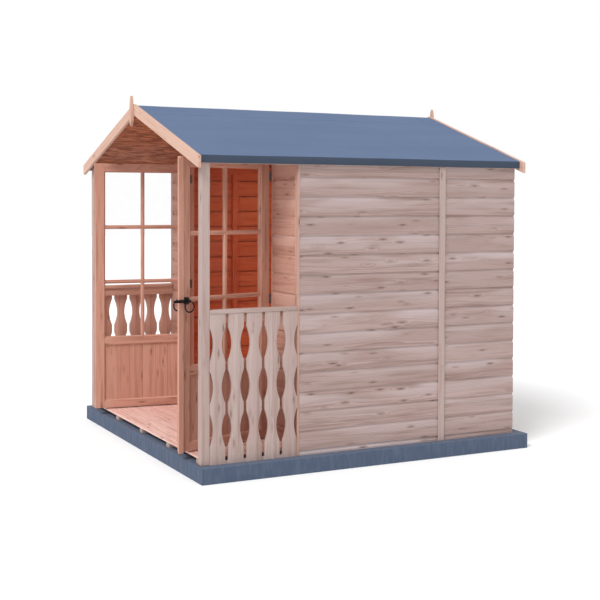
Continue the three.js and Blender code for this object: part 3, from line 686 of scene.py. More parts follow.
# ---- Cover strips and corner strips ----
# Planed strips hide the seam in each side wall and the ends of the boards at the front corners.
# Galvanised nails hold them, one every 300 mm.
STRIP_NAILS = 0.30
corner_timber = softwood_finish("corner_timber", (0.52, 0.330, 0.275), (0.46, 0.265, 0.210),
                                (0.30, 0.150, 0.110), (0.13, 0.055, 0.038))
for side, sign in SIDES:
    low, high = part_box(f"{side}_cover_strip")
    make_piece(f"{side}_seam_strip", [board(low, high, "z", TRIM_EASE)], [planed_timber], "house",
               [f"{side}_cover_strip"])
    heights = np.arange(low.z + STRIP_NAILS / 2, high.z, STRIP_NAILS)
    nails = nail_heads([(high.x if sign > 0 else low.x, (low.y + high.y) / 2, z) for z in heights],
                       (sign, 0, 0))
    low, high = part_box(f"front_{side}_corner_strip")
    make_piece(f"{side}_corner_strip", [board(low, high, "z", TRIM_EASE)], [corner_timber], "house",
               [f"front_{side}_corner_strip"])
    nails += nail_heads([((low.x + high.x) / 2, low.y, z) for z in heights], (0, -1, 0))
    make_piece(f"{side}_strip_nails", nails, [nail_steel], "house")


# ---- Posts, eaves rails and handrails ----
# Planed square posts carry the front of the roof, with a rail under the eaves from each post
# to the wall. The handrail is a flat planed cap over the balusters. The rails' inward faces take a warmer
# finish, a painted warm shade.
for side in ("right", "left"):
    for part, ease, along in (("post", 0.003, "z"), ("eaves_rail", 0.0015, "y"), ("handrail", 0.005, "y")):
        low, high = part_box(f"{side}_{part}")
        timber = board(low, high, along, ease)
        finishes = [planed_timber]
        if part != "post":
            # Faces turned inwards take the warmer finish, a painted warm shade.
            inside = np.abs(timber["points"][0, :, 0]) < abs(low.x + high.x) / 2
            timber["skin"] = (inside & np.roll(inside, -1)).astype(int)
            finishes = [planed_timber, warm_shade_timber]
        make_piece(f"{side}_{part}_timber", [timber], finishes, "house", [f"{side}_{part}"])


# ---- Balustrades ----
# Five flat balusters a side are sawn to a wavy outline from planed boards, and nailed to a top
# and a foot rail behind them. The outer two are cut down where they meet the post and the wall.
BALUSTERS = range(-2, 3)
BALUSTER_PITCH = 0.111
BALUSTER_THICK = 0.015
NECK = 0.009
BULGE = 0.030
BULGE_LENGTH = 0.182
BULGE_PITCH = 0.236
FIRST_BULGE = 0.171
SLOT_FOOT = 0.018
RAIL_HEIGHT = 0.050
RAIL_LIFT = 0.001
RAIL_NAIL_SIDE = 0.018
BALUSTER_JOINT = 0.0006
BALUSTER_EASE = 0.0015
BALUSTER_STATIONS = 130


def slot_half(up):
    """Half the slot between two balusters at a height above its foot: a straight neck, widened by
    (bulge − neck)·sin(pi·t)^0.9 along each of three bulges, where t runs from 0 to 1."""
    centres = FIRST_BULGE + BULGE_PITCH * np.arange(3)
    t = (up[:, None] - centres[None, :]) / BULGE_LENGTH + 0.5
    swell = np.where((t > 0) & (t < 1), np.sin(np.pi * np.clip(t, 0, 1)) ** 0.9, 0).sum(1)
    return np.where(up < 0, BALUSTER_JOINT, NECK + (BULGE - NECK) * swell)


def baluster(outer_x, sign, middle, start, end, foot, top):
    """Point (s, t) = the eased outline t across the board, as wide at height s as the pitch less
    the slots on either side, and cut off at start and end."""
    up = np.concatenate([[0, 0.001, SLOT_FOOT - 0.0005, SLOT_FOOT + 0.0005],
                         np.linspace(SLOT_FOOT + 0.004, top - foot - 0.001, BALUSTER_STATIONS),
                         [top - foot]])
    half = BALUSTER_PITCH / 2 - slot_half(up - SLOT_FOOT)
    y0, y1 = np.maximum(middle - half, start), np.minimum(middle + half, end)
    corner = rounded_rectangle(1.0, BALUSTER_THICK, BALUSTER_EASE)
    across = (y0 + y1)[:, None] / 2 + np.sign(corner[:, 0]) * ((y1 - y0)[:, None] / 2
                                                                 - (0.5 - np.abs(corner[:, 0])))
    away = np.broadcast_to(corner[:, 1] - BALUSTER_THICK / 2, across.shape)
    rise = np.broadcast_to((foot + up)[:, None], across.shape)
    points = np.stack([sign * (outer_x + away), across, rise], -1)
    grain = np.stack([rise - foot, across - middle, away], -1)
    # Faces turned into the verandah take the warmer finish, a painted warm shade.
    inward_shade = (corner[:, 1] < 0) & (np.roll(corner[:, 1], -1) < 0)
    return {"points": points, "grain": grain, "tone": rng.random(), "skin": inward_shade.astype(int)}


for side, sign in SIDES:
    low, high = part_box(f"{side}_balustrade")
    middle = (low.y + high.y) / 2
    outer_x = max(abs(low.x), abs(high.x))
    inner_x = min(abs(low.x), abs(high.x))
    parts = [baluster(outer_x, sign, middle + i * BALUSTER_PITCH, low.y, high.y, low.z, high.z)
             for i in BALUSTERS]
    nails = []
    for z0 in (high.z - RAIL_HEIGHT, floor_high.z + RAIL_LIFT):
        ends = sorted((sign * inner_x, sign * (outer_x - BALUSTER_THICK)))
        parts.append(board((ends[0], low.y, z0), (ends[1], high.y, z0 + RAIL_HEIGHT), "y"))
        # The rails behind take the warmer finish all over, a painted warm shade.
        parts[-1]["skin"] = 1
        nails += [(sign * outer_x, middle + i * BALUSTER_PITCH + shift, z0 + RAIL_HEIGHT / 2)
                  for i in BALUSTERS for shift in (-RAIL_NAIL_SIDE, RAIL_NAIL_SIDE)]
    make_piece(f"{side}_balusters", parts, [planed_timber, warm_shade_timber], "house",
               [f"{side}_balustrade"], sharp=28)
    make_piece(f"{side}_baluster_nails", nail_heads(nails, (sign, 0, 0)), [nail_steel], "house")


# ---- Roof decks, ridge beam and eaves battens ----
# Two sheets of flake board lie on each slope, with the ridge beam between the slopes. A batten
# along each eave packs the felt out from the wall.
SHEET_GAP = 0.002
SHEET_EASE = 0.001


def sloped_board(low, high, along, ease):
    """A board laid to the pitch of the roof, in the box from low to high: a straight board, with
    each point lowered by (|x| − inner)·slope, where inner is the end nearer to the ridge."""
    inner, outer = sorted((abs(low[0]), abs(high[0])))
    depth = (high[2] - low[2]) - (outer - inner) * slope
    made = board((low[0], low[1], high[2] - depth), high, along, ease)
    made["points"][..., 2] -= (np.abs(made["points"][..., 0]) - inner) * slope
    return made


def flake_board_finish():
    """Pressed flakes, each a few centimetres long and turned its own way. Three layers of long
    cells, turned by different angles, show through one another by noise."""
    material, tree, shader = new_finish("warm_shade_flake_board")
    place = add_node(tree, "TexCoord").outputs["Object"]
    value, height = None, None
    for angle, stretch, shift in ((-0.16, 24, 3), (0.0, 20, 7), (0.14, 28, 11)):
        turned = add_node(tree, "Mapping", {"Vector": place, "Rotation": (0, 0, angle),
                                            "Location": (shift, shift, 0),
                                            "Scale": (0.31 / stretch, 2.2 / stretch, 1)},
                          vector_type="TEXTURE")
        cells = add_node(tree, "TexVoronoi", {"Vector": turned.outputs[0], "Scale": 1.0})
        shade = add_node(tree, "SeparateXYZ", {0: cells.outputs["Color"]}).outputs[0]
        if value is None:
            value, height = shade, cells.outputs["Distance"]
        else:
            share = ramp_of(tree, noise_on(tree, turned.outputs[0], (0.5, 0.5, 0.5)), 0.45, 0.55)
            value = add_node(tree, "Mix", {0: share, 2: value, 3: shade}).outputs[0]
            height = add_node(tree, "Mix", {0: share, 2: height, 3: cells.outputs["Distance"]}).outputs[0]
    fibres = noise_on(tree, place, (260, 260, 260), 3)
    # The real brown of the flakes is darkened and reddened here: a painted warm shade, since the deck is
    # seen only from below.
    colour = mixed(tree, ramp_of(tree, value, 0.1, 0.9), (0.46, 0.150, 0.062), (0.19, 0.048, 0.017))
    colour = mixed(tree, ramp_of(tree, fibres, 0.5, 0.8, 0, 0.4), colour, (0.14, 0.045, 0.022))
    finish_surface(tree, shader, colour, ramp_of(tree, value, 0, 1, 0.65, 0.85), height, 0.0015)
    return material


warm_shade_flake_board = flake_board_finish()
for side in ("right", "left"):
    low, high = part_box(f"{side}_roof_deck")
    sheets = [sloped_board((low.x, y0, low.z), (high.x, y1, high.z), "y", SHEET_EASE)
              for y0, y1 in ((low.y, -SHEET_GAP / 2), (SHEET_GAP / 2, high.y))]
    make_piece(f"{side}_deck_sheets", sheets, [warm_shade_flake_board], "house", [f"{side}_roof_deck"])
    low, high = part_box(f"{side}_eaves_batten")
    outer = max(abs(low.x), abs(high.x))
    make_piece(f"{side}_eaves_packing", [board(low, (high.x, high.y, deck_under(outer)), "y")],
               [planed_timber], "house", [f"{side}_eaves_batten"])
make_piece("ridge_timber", [board(ridge_low, ridge_high, "y", TRIM_EASE)], [bounce_lit_lining], "house",
           ["ridge_beam"])


# ---- Roof felt ----
# Mineral felt lies over the decks and is turned down at the eaves, where a darker felt paints the shade on
# the turned-down faces.
# A cap strip laps over the ridge. Clout nails hold its edges.
FELT_THICK = 0.0022
CAP_HALF = 0.200
CAP_THICK = 0.0012
CAP_EDGE, BEYOND_CAP = 0.0006, 0.05
EAVES_ROUND = 0.006
RIDGE_ROUND = 0.012
UNDER_BEND = 0.5
HEM_RISE, HEM_IN = 0.0008, 0.0004
DROP_FACE = 0.003
FELT_STATIONS = 60
FELT_WAVE = 0.00045
NAIL_STEP = 0.060
CLOUT_RADIUS, CLOUT_RISE = 0.0042, 0.0005
CLOUT_UP = 0.012
CLOUT_SUNK = 0.0006

felt_low, felt_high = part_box("roof_felt")


def felt_top(x):
    """Height of the felt's upper face, below its highest line by the fall of the roof, with the
    ridge rounded: the fall is slope·(sqrt(x² + r²) − r)."""
    return felt_high.z - slope * (np.sqrt(x * x + RIDGE_ROUND ** 2) - RIDGE_ROUND)


def felt_outline():
    """Half outline (x, z) from the ridge down the slope, round the eave and down the drop, then
    back up along the underside; mirrored for the other half."""
    edge = felt_high.x
    down = np.concatenate([np.linspace(0, CAP_HALF, 12), [CAP_HALF + CAP_EDGE],
                           np.linspace(CAP_HALF + BEYOND_CAP, edge - EAVES_ROUND, 12)])
    top = felt_top(down) - CAP_THICK * (down > CAP_HALF)
    arc = np.linspace(0.15, np.pi / 2, 6)
    corner = felt_top(edge - EAVES_ROUND) - CAP_THICK - EAVES_ROUND
    round_x = edge - EAVES_ROUND + EAVES_ROUND * np.sin(arc)
    round_z = corner + EAVES_ROUND * np.cos(arc) - 0.3 * EAVES_ROUND * arc * slope
    outer = np.column_stack([np.concatenate([down, round_x, [edge, edge - HEM_IN]]),
                             np.concatenate([top, round_z, [felt_low.z + HEM_RISE, felt_low.z]])])
    inside = edge - FELT_THICK
    inner_x = np.array([inside, inside, UNDER_BEND])
    inner_z = np.array([felt_low.z, felt_top(inside) - FELT_THICK * 2,
                        felt_top(UNDER_BEND) - FELT_THICK * 1.6])
    half = np.vstack([outer, np.column_stack([inner_x, inner_z])])
    ridge_under = np.array([[0.0, felt_high.z - FELT_THICK * 1.6]])
    mirror = (half * [-1, 1])[::-1]
    return np.vstack([half, ridge_under, mirror[:-1]])


outline = felt_outline()
stations = np.linspace(felt_low.y, felt_high.y, FELT_STATIONS)
# The sheet lies a little slack: wave·(sin(9.1·y + 5.3·x) + sin(3.7·y − 11.9·x + 1.3) − 2).
wave = FELT_WAVE * (np.sin(stations[:, None] * 9.1 + outline[None, :, 0] * 5.3)
                    + np.sin(stations[:, None] * 3.7 - outline[None, :, 0] * 11.9 + 1.3) - 2)
felt_points = np.stack([np.broadcast_to(outline[None, :, 0], wave.shape),
                        np.broadcast_to(stations[:, None], wave.shape),
                        outline[None, :, 1] + wave], -1)
# The turned-down faces take the darker felt, a painted shade.
drop = (np.abs(outline[:, 0]) > felt_high.x - DROP_FACE).astype(int)
felt_part = {"points": felt_points, "grain": felt_points.copy(), "tone": 0.5,
             "skin": drop & np.roll(drop, -1)}


def felt_finish(name, deep, worn, bare):
    """Crushed slate grains bedded in bitumen, with a few rubbed thin and the run of the roll
    showing as faint streaks."""
    material, tree, shader = new_finish(name)
    place = add_node(tree, "TexCoord").outputs["Object"]
    grains = noise_on(tree, place, (620, 620, 620), 2)
    roll = noise_on(tree, place, (9, 0.8, 9), 3)
    patches = noise_on(tree, place, (2.2, 2.2, 2.2), 3)
    shade = sum_of(tree, "ADD", ramp_of(tree, patches, 0.3, 0.7, 0, 0.4),
                   ramp_of(tree, roll, 0.35, 0.7, 0, 0.35))
    colour = mixed(tree, shade, deep, worn)
    colour = mixed(tree, ramp_of(tree, grains, 0.52, 0.72, 0, 0.45), colour, bare)
    colour = mixed(tree, ramp_of(tree, grains, 0.46, 0.28, 0, 0.35), colour, worn)
    finish_surface(tree, shader, colour, ramp_of(tree, grains, 0.3, 0.7, 0.85, 1.0), grains, 0.0012)
    return material


mineral_felt = felt_finish("mineral_felt", (0.086, 0.132, 0.236), (0.106, 0.154, 0.262),
                           (0.060, 0.094, 0.172))
# The darker felt is painted shade for the turned-down eaves and the nails in them.
felt_drop_shade = felt_finish("felt_drop_shade", (0.034, 0.050, 0.080), (0.048, 0.066, 0.102), (0.020, 0.028, 0.046))
make_piece("felt_covering", [felt_part], [mineral_felt, felt_drop_shade], "house", ["roof_felt"], sharp=35)

clouts = []
for sign in (1, -1):
    places = np.arange(felt_low.y + NAIL_STEP / 2, felt_high.y, NAIL_STEP)
    clouts += nail_heads([(sign * felt_high.x - sign * CLOUT_SUNK, y, felt_low.z + CLOUT_UP)
                          for y in places], (sign, 0, 0), CLOUT_RADIUS, CLOUT_RISE)
make_piece("felt_nails", clouts, [felt_drop_shade], "house")


# ---- Barge boards and finials ----
# A pair of planed boards covers the edge of the roof at each end, with plumb cuts at the eaves,
# and a finial with a tapered foot and a pointed head is fixed where they meet.
barge_timber = softwood_finish("barge_timber", (0.64, 0.430, 0.345), (0.56, 0.340, 0.255),
                               (0.38, 0.190, 0.125), (0.16, 0.070, 0.045), (0.64, 0.47, 0.41))
BOARD_EASE = 0.003
FOOT_TAPER, FOOT_HALF = 0.034, 0.003
HEAD_TAPER = 0.088
POINT_TAPER, POINT_HALF = 0.022, 0.008
TIP_SHORT, TIP_HALF = 0.0003, 0.0007
LEAST_HALF = 0.0003
for end in ("front", "back"):
    for side in ("right", "left"):
        low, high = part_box(f"{end}_{side}_barge_board")
        make_piece(f"{end}_{side}_barge", [sloped_board(low, high, "x", BOARD_EASE)], [barge_timber],
                   "house", [f"{end}_{side}_barge_board"])
    low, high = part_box(f"{end}_finial")
    half = high.x
    z = np.concatenate([np.linspace(low.z, low.z + FOOT_TAPER, 6),
                        np.linspace(high.z - HEAD_TAPER, high.z - TIP_SHORT, 14)])
    half_at = np.interp(z, [low.z, low.z + FOOT_TAPER, high.z - HEAD_TAPER, high.z - POINT_TAPER, high.z],
                        [FOOT_HALF, half, half, POINT_HALF, TIP_HALF])
    unit = rounded_rectangle(2.0, high.y - low.y, TRIM_EASE)
    unit_x = np.sign(unit[:, 0])
    round_in = 1 - np.abs(unit[:, 0])
    across = unit_x[None, :] * np.maximum(half_at[:, None] - round_in[None, :], LEAST_HALF)
    away = np.broadcast_to((low.y + high.y) / 2 + unit[:, 1], across.shape)
    rise = np.broadcast_to(z[:, None], across.shape)
    make_piece(f"{end}_finial_timber",
               [{"points": np.stack([across, away, rise], -1),
                 "grain": np.stack([rise - low.z, across, away - low.y], -1), "tone": rng.random()}],
               [barge_timber], "house", [f"{end}_finial"])


# ---- Door leaves ----
# Each leaf is a mortised frame of stiles and three rails. Six panes sit between thin bars and
# quarter-round beads, above a panel of upright matchboards. The leaves stand open.
STILE = 0.070
TOP_RAIL = 0.060
LOCK_RAIL = 0.062
BOTTOM_RAIL = 0.054
LOWER_PANEL = 0.366
LEAF_THICK = 0.034
BAR = 0.026
BAR_THICK = 0.022
GLASS_THICK = 0.004
PANEL_THICK = 0.011
MATCHBOARDS = 6
SIDE_GAP = 0.005
BOTTOM_GAP = 0.009
LEAF_HEIGHT = 1.648
PANE_ROWS = 3
BEAD = 0.008
MATCHBOARD_EASE = 0.0025

joint_of = {j["name"]: j for j in frame["joints"]}
leaf_foot = floor_high.z + BOTTOM_GAP
leaf_top = leaf_foot + LEAF_HEIGHT
hinges = {}
for side, sign in SIDES:
    hinge = joint_of[f"{side}_door_hinge"]
    hinges[side] = (sign, Vector(hinge["pos_m"]), math.radians(-hinge["range_deg"][0]))


def hung(part, side):
    """Turns a part from the leaf's own axes, u from the pin along the leaf and v into the house,
    to where the leaf stands: pin + turn(sign·angle)·(−sign·u, v)."""
    sign, pin, angle = hinges[side]
    u, v, z = (part["points"][..., i] for i in range(3))
    c, s = math.cos(sign * angle), math.sin(sign * angle)
    part["points"] = np.stack([pin.x - sign * u * c - v * s, pin.y - sign * u * s + v * c, z], -1)
    return part


leaf_start = SIDE_GAP / 2
leaf_end = hinges["right"][1].x - SIDE_GAP
face_v = front_face - hinges["right"][1].y
back_v = face_v + LEAF_THICK
mid_v = (face_v + back_v) / 2
in_start, in_end = leaf_start + STILE, leaf_end - STILE
leaf_middle = (in_start + in_end) / 2
hole_start, hole_end = in_start - BEAD, in_end + BEAD
panel_top = leaf_foot + BOTTOM_RAIL + LOWER_PANEL
panel_hole = (leaf_foot + BOTTOM_RAIL - BEAD, panel_top + BEAD)
glass_foot = panel_top + LOCK_RAIL
glass_top = leaf_top - TOP_RAIL
pane_row = (glass_top - glass_foot) / PANE_ROWS
bar_core = BAR / 2 - BEAD
pane_columns = ((hole_start, leaf_middle - bar_core), (leaf_middle + bar_core, hole_end))

# The door leaves' wood is painted more orange than the trim, a painted warm shade of the verandah.
warm_shade_door_wood = softwood_finish("warm_shade_door_wood", (0.62, 0.335, 0.250), (0.52, 0.250, 0.175),
                            (0.33, 0.130, 0.085), (0.15, 0.056, 0.036), (0.66, 0.40, 0.33))


def leaf_timbers():
    """Stiles, rails and bars of one leaf, as eased boards in its own axes."""
    def member(u0, u1, z0, z1, thick, along):
        """One timber, centred on the leaf's thickness."""
        return board((u0, mid_v - thick / 2, z0), (u1, mid_v + thick / 2, z1), along, TRIM_EASE)
    timbers = [member(leaf_start, hole_start, leaf_foot, leaf_top, LEAF_THICK, "z"),
               member(hole_end, leaf_end, leaf_foot, leaf_top, LEAF_THICK, "z")]
    for z0, z1 in ((leaf_foot, panel_hole[0]), (panel_hole[1], glass_foot - BEAD),
                   (glass_top + BEAD, leaf_top)):
        timbers.append(member(hole_start, hole_end, z0, z1, LEAF_THICK, "x"))
    timbers.append(member(leaf_middle - bar_core, leaf_middle + bar_core,
                          glass_foot - BEAD, glass_top + BEAD, BAR_THICK, "z"))
    for k in range(1, PANE_ROWS):
        z = glass_foot + k * pane_row
        timbers += [member(u0, u1, z - bar_core, z + bar_core, BAR_THICK, "x") for u0, u1 in pane_columns]
    return timbers


def quarter_bead(a, b, corner, side_u, side_v, along):
    """A bead of quarter-round section from a to b: (cos t, sin t)·bead from the corner that it
    fills, t from 0 to a quarter turn."""
    t = np.linspace(0, np.pi / 2, 5)
    section = np.vstack([[0, 0], np.column_stack([np.cos(t), np.sin(t)]) * BEAD])
    ends = np.array([a, b])
    points = np.zeros((2, len(section), 3))
    run, across = (0, 2) if along == "x" else (2, 0)
    points[..., run] = ends[:, None]
    points[..., across] = corner[0] + side_u * section[:, 0]
    points[..., 1] = corner[1] + side_v * section[:, 1]
    grain = points[..., [run, across, 1]] - np.array([a, corner[0], corner[1]])
    return {"points": points, "grain": grain, "tone": rng.random()}


def beads_round(u0, u1, z0, z1, thick):
    """Four beads round one opening, on both faces of the sheet in it, overlapped at the corners."""
    beads = []
    for side_v in (1, -1):
        v = mid_v + side_v * thick / 2
        beads += [quarter_bead(z0, z1, (u0, v), 1, side_v, "z"),
                  quarter_bead(z0, z1, (u1, v), -1, side_v, "z"),
                  quarter_bead(u0, u1, (z0, v), 1, side_v, "x"),
                  quarter_bead(u0, u1, (z1, v), -1, side_v, "x")]
    return beads


def leaf_beads():
    """The beads of the lower panel and of the six panes."""
    beads = beads_round(hole_start, hole_end, *panel_hole, PANEL_THICK)
    for k in range(PANE_ROWS):
        z0 = glass_foot + k * pane_row + (bar_core if k else -BEAD)
        z1 = glass_foot + (k + 1) * pane_row + (-bar_core if k < PANE_ROWS - 1 else BEAD)
        for u0, u1 in pane_columns:
            beads += beads_round(u0, u1, z0, z1, GLASS_THICK)
    return beads


def matchboards():
    """Upright boards of the lower panel, with eased edges that meet in a groove."""
    edges = np.linspace(hole_start, hole_end, MATCHBOARDS + 1)
    return [board((u0 + TOUCH_GAP, mid_v - PANEL_THICK / 2, panel_hole[0]),
                  (u1 - TOUCH_GAP, mid_v + PANEL_THICK / 2, panel_hole[1]), "z", MATCHBOARD_EASE)
            for u0, u1 in zip(edges[:-1], edges[1:])]


for side in ("right", "left"):
    body = f"{side}_door"
    make_piece(f"{side}_leaf_frame", [hung(p, side) for p in leaf_timbers()], [warm_shade_door_wood], body,
               [f"{side}_door_frame"])
    make_piece(f"{side}_leaf_beads", [hung(p, side) for p in leaf_beads()], [warm_shade_door_wood], body)
    make_piece(f"{side}_leaf_panel", [hung(p, side) for p in matchboards()], [warm_shade_door_wood], body,
               [f"{side}_door_panel"])


# ---- Glass ----
# Clear sheet glass, 4 mm thick, runs behind the bars of each leaf. A little dust lies on it.
def glass_finish():
    """Clear glass with a thin uneven film of dust, which shows as a slight veil."""
    material, tree, shader = new_finish("sheet_glass")
    place = add_node(tree, "TexCoord").outputs["Object"]
    dust = noise_on(tree, place, (14, 14, 14), 4)
    colour = mixed(tree, dust, (0.42, 0.50, 0.48), (0.55, 0.60, 0.58))
    tree.links.new(colour, shader.inputs["Base Color"])
    tree.links.new(ramp_of(tree, dust, 0.3, 0.7, 0.03, 0.12), shader.inputs["Roughness"])
    tree.links.new(ramp_of(tree, dust, 0.3, 0.8, 0.004, 0.016), shader.inputs["Alpha"])
    return material


sheet_glass = glass_finish()
for side in ("right", "left"):
    pane = frame["nodes"][f"{side}_door_glass"]
    pane.data.materials.clear()
    pane.data.materials.append(sheet_glass)


# ---- Meeting strip ----
# A planed strip is screwed to the outer face of the right leaf and laps over the left one when
# the doors are shut.
STRIP_WIDTH = 0.036
STRIP_LAP = 0.025
STRIP_THICK = 0.012
STRIP_DROP = 0.004
STRIP_SHORT = 0.010
PACKING_EASE = 0.0005
strip_out = face_v - TOUCH_GAP - STRIP_THICK
strip_start = leaf_end + STRIP_LAP - STRIP_WIDTH
strip = board((strip_start, strip_out, leaf_foot - STRIP_DROP),
              (leaf_end + STRIP_LAP, face_v - SIDE_GAP, leaf_top - STRIP_SHORT), "z", TRIM_EASE)
packing = board((strip_start, face_v - SIDE_GAP, leaf_foot - STRIP_DROP),
                (leaf_end, face_v - TOUCH_GAP, leaf_top - STRIP_SHORT), "z", PACKING_EASE)
packing["tone"] = strip["tone"]
make_piece("leaf_meeting_strip", [hung(strip, "right"), hung(packing, "right")], [warm_shade_door_wood],
           "right_door", ["meeting_strip"])


# ---- Hinges ----
# Three pressed-steel butt hinges hang each leaf. One plate of each is let into the jamb and the
# other into the leaf's edge, round a pin in five knuckles that shows beside the doorway.
HINGE_LENGTH = 0.058
HINGE_RISE = (0.100, 0.823, LEAF_HEIGHT - 0.100)
PIN_RADIUS = 0.0045
PIN_HEAD = PIN_RADIUS * 0.6
KNUCKLE_EASE = 0.0006
KNUCKLE_GROOVE = 0.0007
PLATE_EASE = 0.0004
PLATE_FROM_PIN = 0.001
PLATE_THICK = 0.0017
PLATE_WIDTH = 0.024
KNUCKLES = 5
SCREWS = (-0.020, 0.0, 0.020)
SCREW_RADIUS, SCREW_RISE = 0.0032, 0.0005


def iron_finish(name, dark, worn, metallic, rough):
    """Blackened iron, hammered and slightly rubbed: dents from noise, and brighter high places."""
    material, tree, shader = new_finish(name)
    place = add_node(tree, "TexCoord").outputs["Object"]
    dents = noise_on(tree, place, (260, 260, 260), 3)
    rubs = noise_on(tree, place, (60, 60, 60), 3)
    shader.inputs["Metallic"].default_value = metallic
    colour = mixed(tree, ramp_of(tree, rubs, 0.52, 0.78), dark, worn)
    finish_surface(tree, shader, colour, ramp_of(tree, rubs, 0.3, 0.7, rough + 0.12, rough - 0.1),
                   dents, 0.0004)
    return material


black_iron = iron_finish("black_iron", (0.012, 0.012, 0.014), (0.05, 0.05, 0.055), 0.7, 0.42)
hinge_steel = iron_finish("hinge_steel", (0.15, 0.13, 0.125), (0.30, 0.27, 0.26), 0.85, 0.42)


def lathe(radii, rises, centre, axis, segments=20):
    """Point (s, t) = centre + rise(s) along the axis + radius(s)·(cos t, sin t) across it."""
    run = "xyz".index(axis)
    a, b = (run + 1) % 3, (run + 2) % 3
    turn = np.linspace(0, 2 * np.pi, segments, endpoint=False)
    points = np.zeros((len(radii), segments, 3))
    points[..., run] = centre[run] + np.array(rises)[:, None]
    points[..., a] = centre[a] + np.array(radii)[:, None] * np.cos(turn)
    points[..., b] = centre[b] + np.array(radii)[:, None] * np.sin(turn)
    return {"points": points, "grain": points - np.array(centre), "tone": rng.random()}


def knuckles(centre):
    """The pin's five knuckles: a cylinder with a fine groove at each joint and a narrower head at
    both ends."""
    step = HINGE_LENGTH / KNUCKLES
    rises, radii = [-HINGE_LENGTH / 2], [PIN_HEAD]
    for k in range(KNUCKLES):
        z0 = -HINGE_LENGTH / 2 + k * step
        rises += [z0 + KNUCKLE_EASE, z0 + step - KNUCKLE_EASE]
        radii += [PIN_RADIUS, PIN_RADIUS]
        if k < KNUCKLES - 1:
            rises.append(z0 + step)
            radii.append(PIN_RADIUS - KNUCKLE_GROOVE)
    rises.append(HINGE_LENGTH / 2)
    radii.append(PIN_HEAD)
    return lathe(radii, rises, centre, "z", 18)


for side in ("right", "left"):
    sign, pin, angle = hinges[side]
    for name, rise in zip(("low", "middle", "high"), HINGE_RISE):
        z = leaf_foot + rise
        z0, z1 = z - HINGE_LENGTH / 2, z + HINGE_LENGTH / 2
        reveal = abs(pin.x) + SIDE_GAP / 2
        ends = sorted((sign * (reveal - PLATE_THICK), sign * reveal))
        jamb_plate = board((ends[0], pin.y, z0), (ends[1], front_face + PLATE_WIDTH, z1), "z",
                           PLATE_EASE)
        heads = nail_heads([(sign * (reveal - PLATE_THICK), front_face + PLATE_WIDTH / 2, z + dz)
                            for dz in SCREWS], (-sign, 0, 0), SCREW_RADIUS, SCREW_RISE)
        make_piece(f"{side}_butt_hinge_{name}", [knuckles((pin.x, pin.y, z)), jamb_plate, *heads],
                   [hinge_steel], "house", [f"{side}_hinge_{name}"], sharp=30)
        leaf_plate = board((leaf_start - PLATE_THICK, PLATE_FROM_PIN, z0),
                           (leaf_start, face_v + PLATE_WIDTH, z1), "z", PLATE_EASE)
        screws = nail_heads([(leaf_start - PLATE_THICK, face_v + PLATE_WIDTH / 2, z + dz)
                             for dz in SCREWS], (-1, 0, 0), SCREW_RADIUS, SCREW_RISE)
        make_piece(f"{side}_leaf_plate_{name}", [hung(p, side) for p in [leaf_plate, *screws]],
                   [hinge_steel], f"{side}_door", sharp=30)


# ---- Ring latch ----
# A blackened iron ring on each face of the right leaf turns one spindle, and with it a flat bar
# that rests on the left leaf's keep when the doors are shut. A square plate is screwed on round it.
LATCH_RISE = 0.844
LATCH_IN = 0.032
LATCH_PLATE = 0.040
PLATE_DEPTH = 0.004
SPINDLE = 0.005
BAR_REACH = 0.066
BAR_TALL = 0.022
LATCH_BAR_THICK = 0.005
RING_RADIUS = 0.031
RING_WIRE = 0.0035
RING_STANDOFF = 0.036
RING_STEPS = 48
RING_SWELL = 0.12
RING_SLACK = 0.0008
BAR_TAPER = 0.35
TAPER_FROM = 0.02
BAR_EASE = 0.0018
IRON_EASE = 0.001
SPINDLE_ENDS = ((0.006, 0.0035), (0.0045, 0.0048), (0.002, SPINDLE))
COLLAR_RADIUS = 0.0095
COLLAR_HALF = 0.005
COLLAR_CUT = 0.93
IRON_SCREW, IRON_SCREW_RISE = 0.003, 0.0006
PLATE_SCREW, PLATE_SCREW_NEAR = 0.014, 0.010


def iron_ring(u, v, z):
    """Point (s, t) = centre + (R + r·cos t)·(cos s, sin s) + r·sin t across, where the wire r is
    thicker at the foot of the ring than at its top, by a share of 2·RING_SWELL."""
    s = np.linspace(0, 2 * np.pi, RING_STEPS, endpoint=False)[:, None]
    t = np.linspace(0, 2 * np.pi, 12, endpoint=False)[None, :]
    wire = RING_WIRE * (1 + RING_SWELL * (1 - np.sin(s)))
    out = RING_RADIUS - RING_SLACK + wire * np.cos(t)
    points = np.stack([u + out * np.cos(s), v + wire * np.sin(t) + 0 * s, z + out * np.sin(s)], -1)
    return {"points": points, "grain": points - np.array((u, v, z)), "tone": 0.5, "joined": True}


latch_u = leaf_end - LATCH_IN
latch_z = leaf_foot + LATCH_RISE
out_v, in_v = face_v - RING_STANDOFF, back_v + RING_STANDOFF
bar_out = strip_out - SIDE_GAP
latch_bar = board((latch_u - BAR_TALL / 2, bar_out - LATCH_BAR_THICK, latch_z - BAR_TALL / 2),
                  (leaf_end + BAR_REACH, bar_out, latch_z + BAR_TALL / 2), "x", BAR_EASE)
bar_u = latch_bar["points"][..., 0]
along_bar = (bar_u - latch_u - TAPER_FROM) / (leaf_end + BAR_REACH - latch_u - TAPER_FROM)
narrowing = 1 - BAR_TAPER * np.clip(along_bar, 0, 1)
latch_bar["points"][..., 2] = latch_z + (latch_bar["points"][..., 2] - latch_z) * narrowing
spindle = lathe([r for _, r in SPINDLE_ENDS + SPINDLE_ENDS[::-1]],
                [out_v - v for v, _ in SPINDLE_ENDS] + [in_v + v for v, _ in SPINDLE_ENDS[::-1]],
                (latch_u, 0.0, latch_z), "y")
collar_radii = COLLAR_RADIUS * np.sqrt(np.clip(1 - np.linspace(-COLLAR_CUT, COLLAR_CUT, 9) ** 2, 0, 1))
collars = [lathe(collar_radii, np.linspace(v - COLLAR_HALF, v + COLLAR_HALF, 9),
                 (latch_u, 0.0, latch_z), "y") for v in (out_v, in_v)]
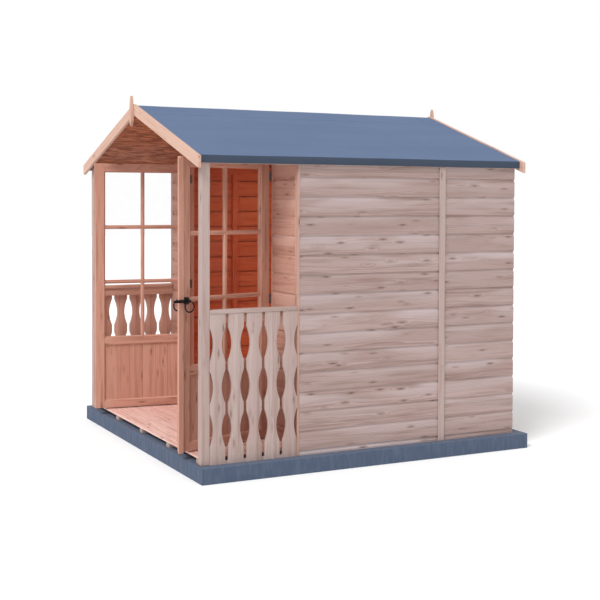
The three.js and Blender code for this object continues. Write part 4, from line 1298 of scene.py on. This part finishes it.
latch_parts = [latch_bar, spindle, *collars, iron_ring(latch_u, out_v, latch_z - RING_RADIUS),
               iron_ring(latch_u, in_v, latch_z - RING_RADIUS)]
make_piece("iron_latch", [hung(p, "right") for p in latch_parts], [black_iron], "latch",
           ["ring_latch"], sharp=40)

plate_v = face_v - TOUCH_GAP
plate_end = min(latch_u + LATCH_PLATE / 2, strip_start - TOUCH_GAP)
square_plate = board((latch_u - LATCH_PLATE / 2, plate_v - PLATE_DEPTH, latch_z - LATCH_PLATE / 2),
                     (plate_end, plate_v, latch_z + LATCH_PLATE / 2), "z", IRON_EASE)
plate_screws = nail_heads([(u, plate_v - PLATE_DEPTH, latch_z + dz)
                           for u in (latch_u - PLATE_SCREW, latch_u + PLATE_SCREW_NEAR)
                           for dz in (-PLATE_SCREW, PLATE_SCREW)],
                          (0, -1, 0), IRON_SCREW, IRON_SCREW_RISE)
make_piece("iron_plate", [hung(p, "right") for p in [square_plate, *plate_screws]], [black_iron],
           "right_door", ["latch_plate"], sharp=30)

# The keep is a narrow plate on the left leaf, with a ledge for the bar to rest on.
KEEP_IN = 0.020
KEEP_DROP = 0.020
KEEP_THICK = 0.003
LEDGE_DEPTH, LEDGE_THICK, LEDGE_BACK = 0.024, 0.005, 0.001
KEEP_SCREW_DROP = 0.012
ledge_top = latch_z - BAR_TALL / 2 - SIDE_GAP
keep_end = leaf_end - KEEP_IN
keep_start = keep_end - LATCH_PLATE / 2
keep_parts = [board((keep_start, plate_v - KEEP_THICK, ledge_top - KEEP_DROP),
                    (keep_end, plate_v, latch_z + BAR_TALL), "z", IRON_EASE),
              board((keep_start, plate_v - LEDGE_DEPTH, ledge_top - LEDGE_THICK),
                    (keep_end, plate_v - LEDGE_BACK, ledge_top), "y", IRON_EASE)]
keep_parts += nail_heads([((keep_start + keep_end) / 2, plate_v - KEEP_THICK, z)
                          for z in (ledge_top - KEEP_SCREW_DROP, latch_z + PLATE_SCREW)],
                         (0, -1, 0), IRON_SCREW, IRON_SCREW_RISE)
make_piece("iron_keep", [hung(p, "left") for p in keep_parts], [black_iron], "left_door",
           ["latch_keep"], sharp=30)
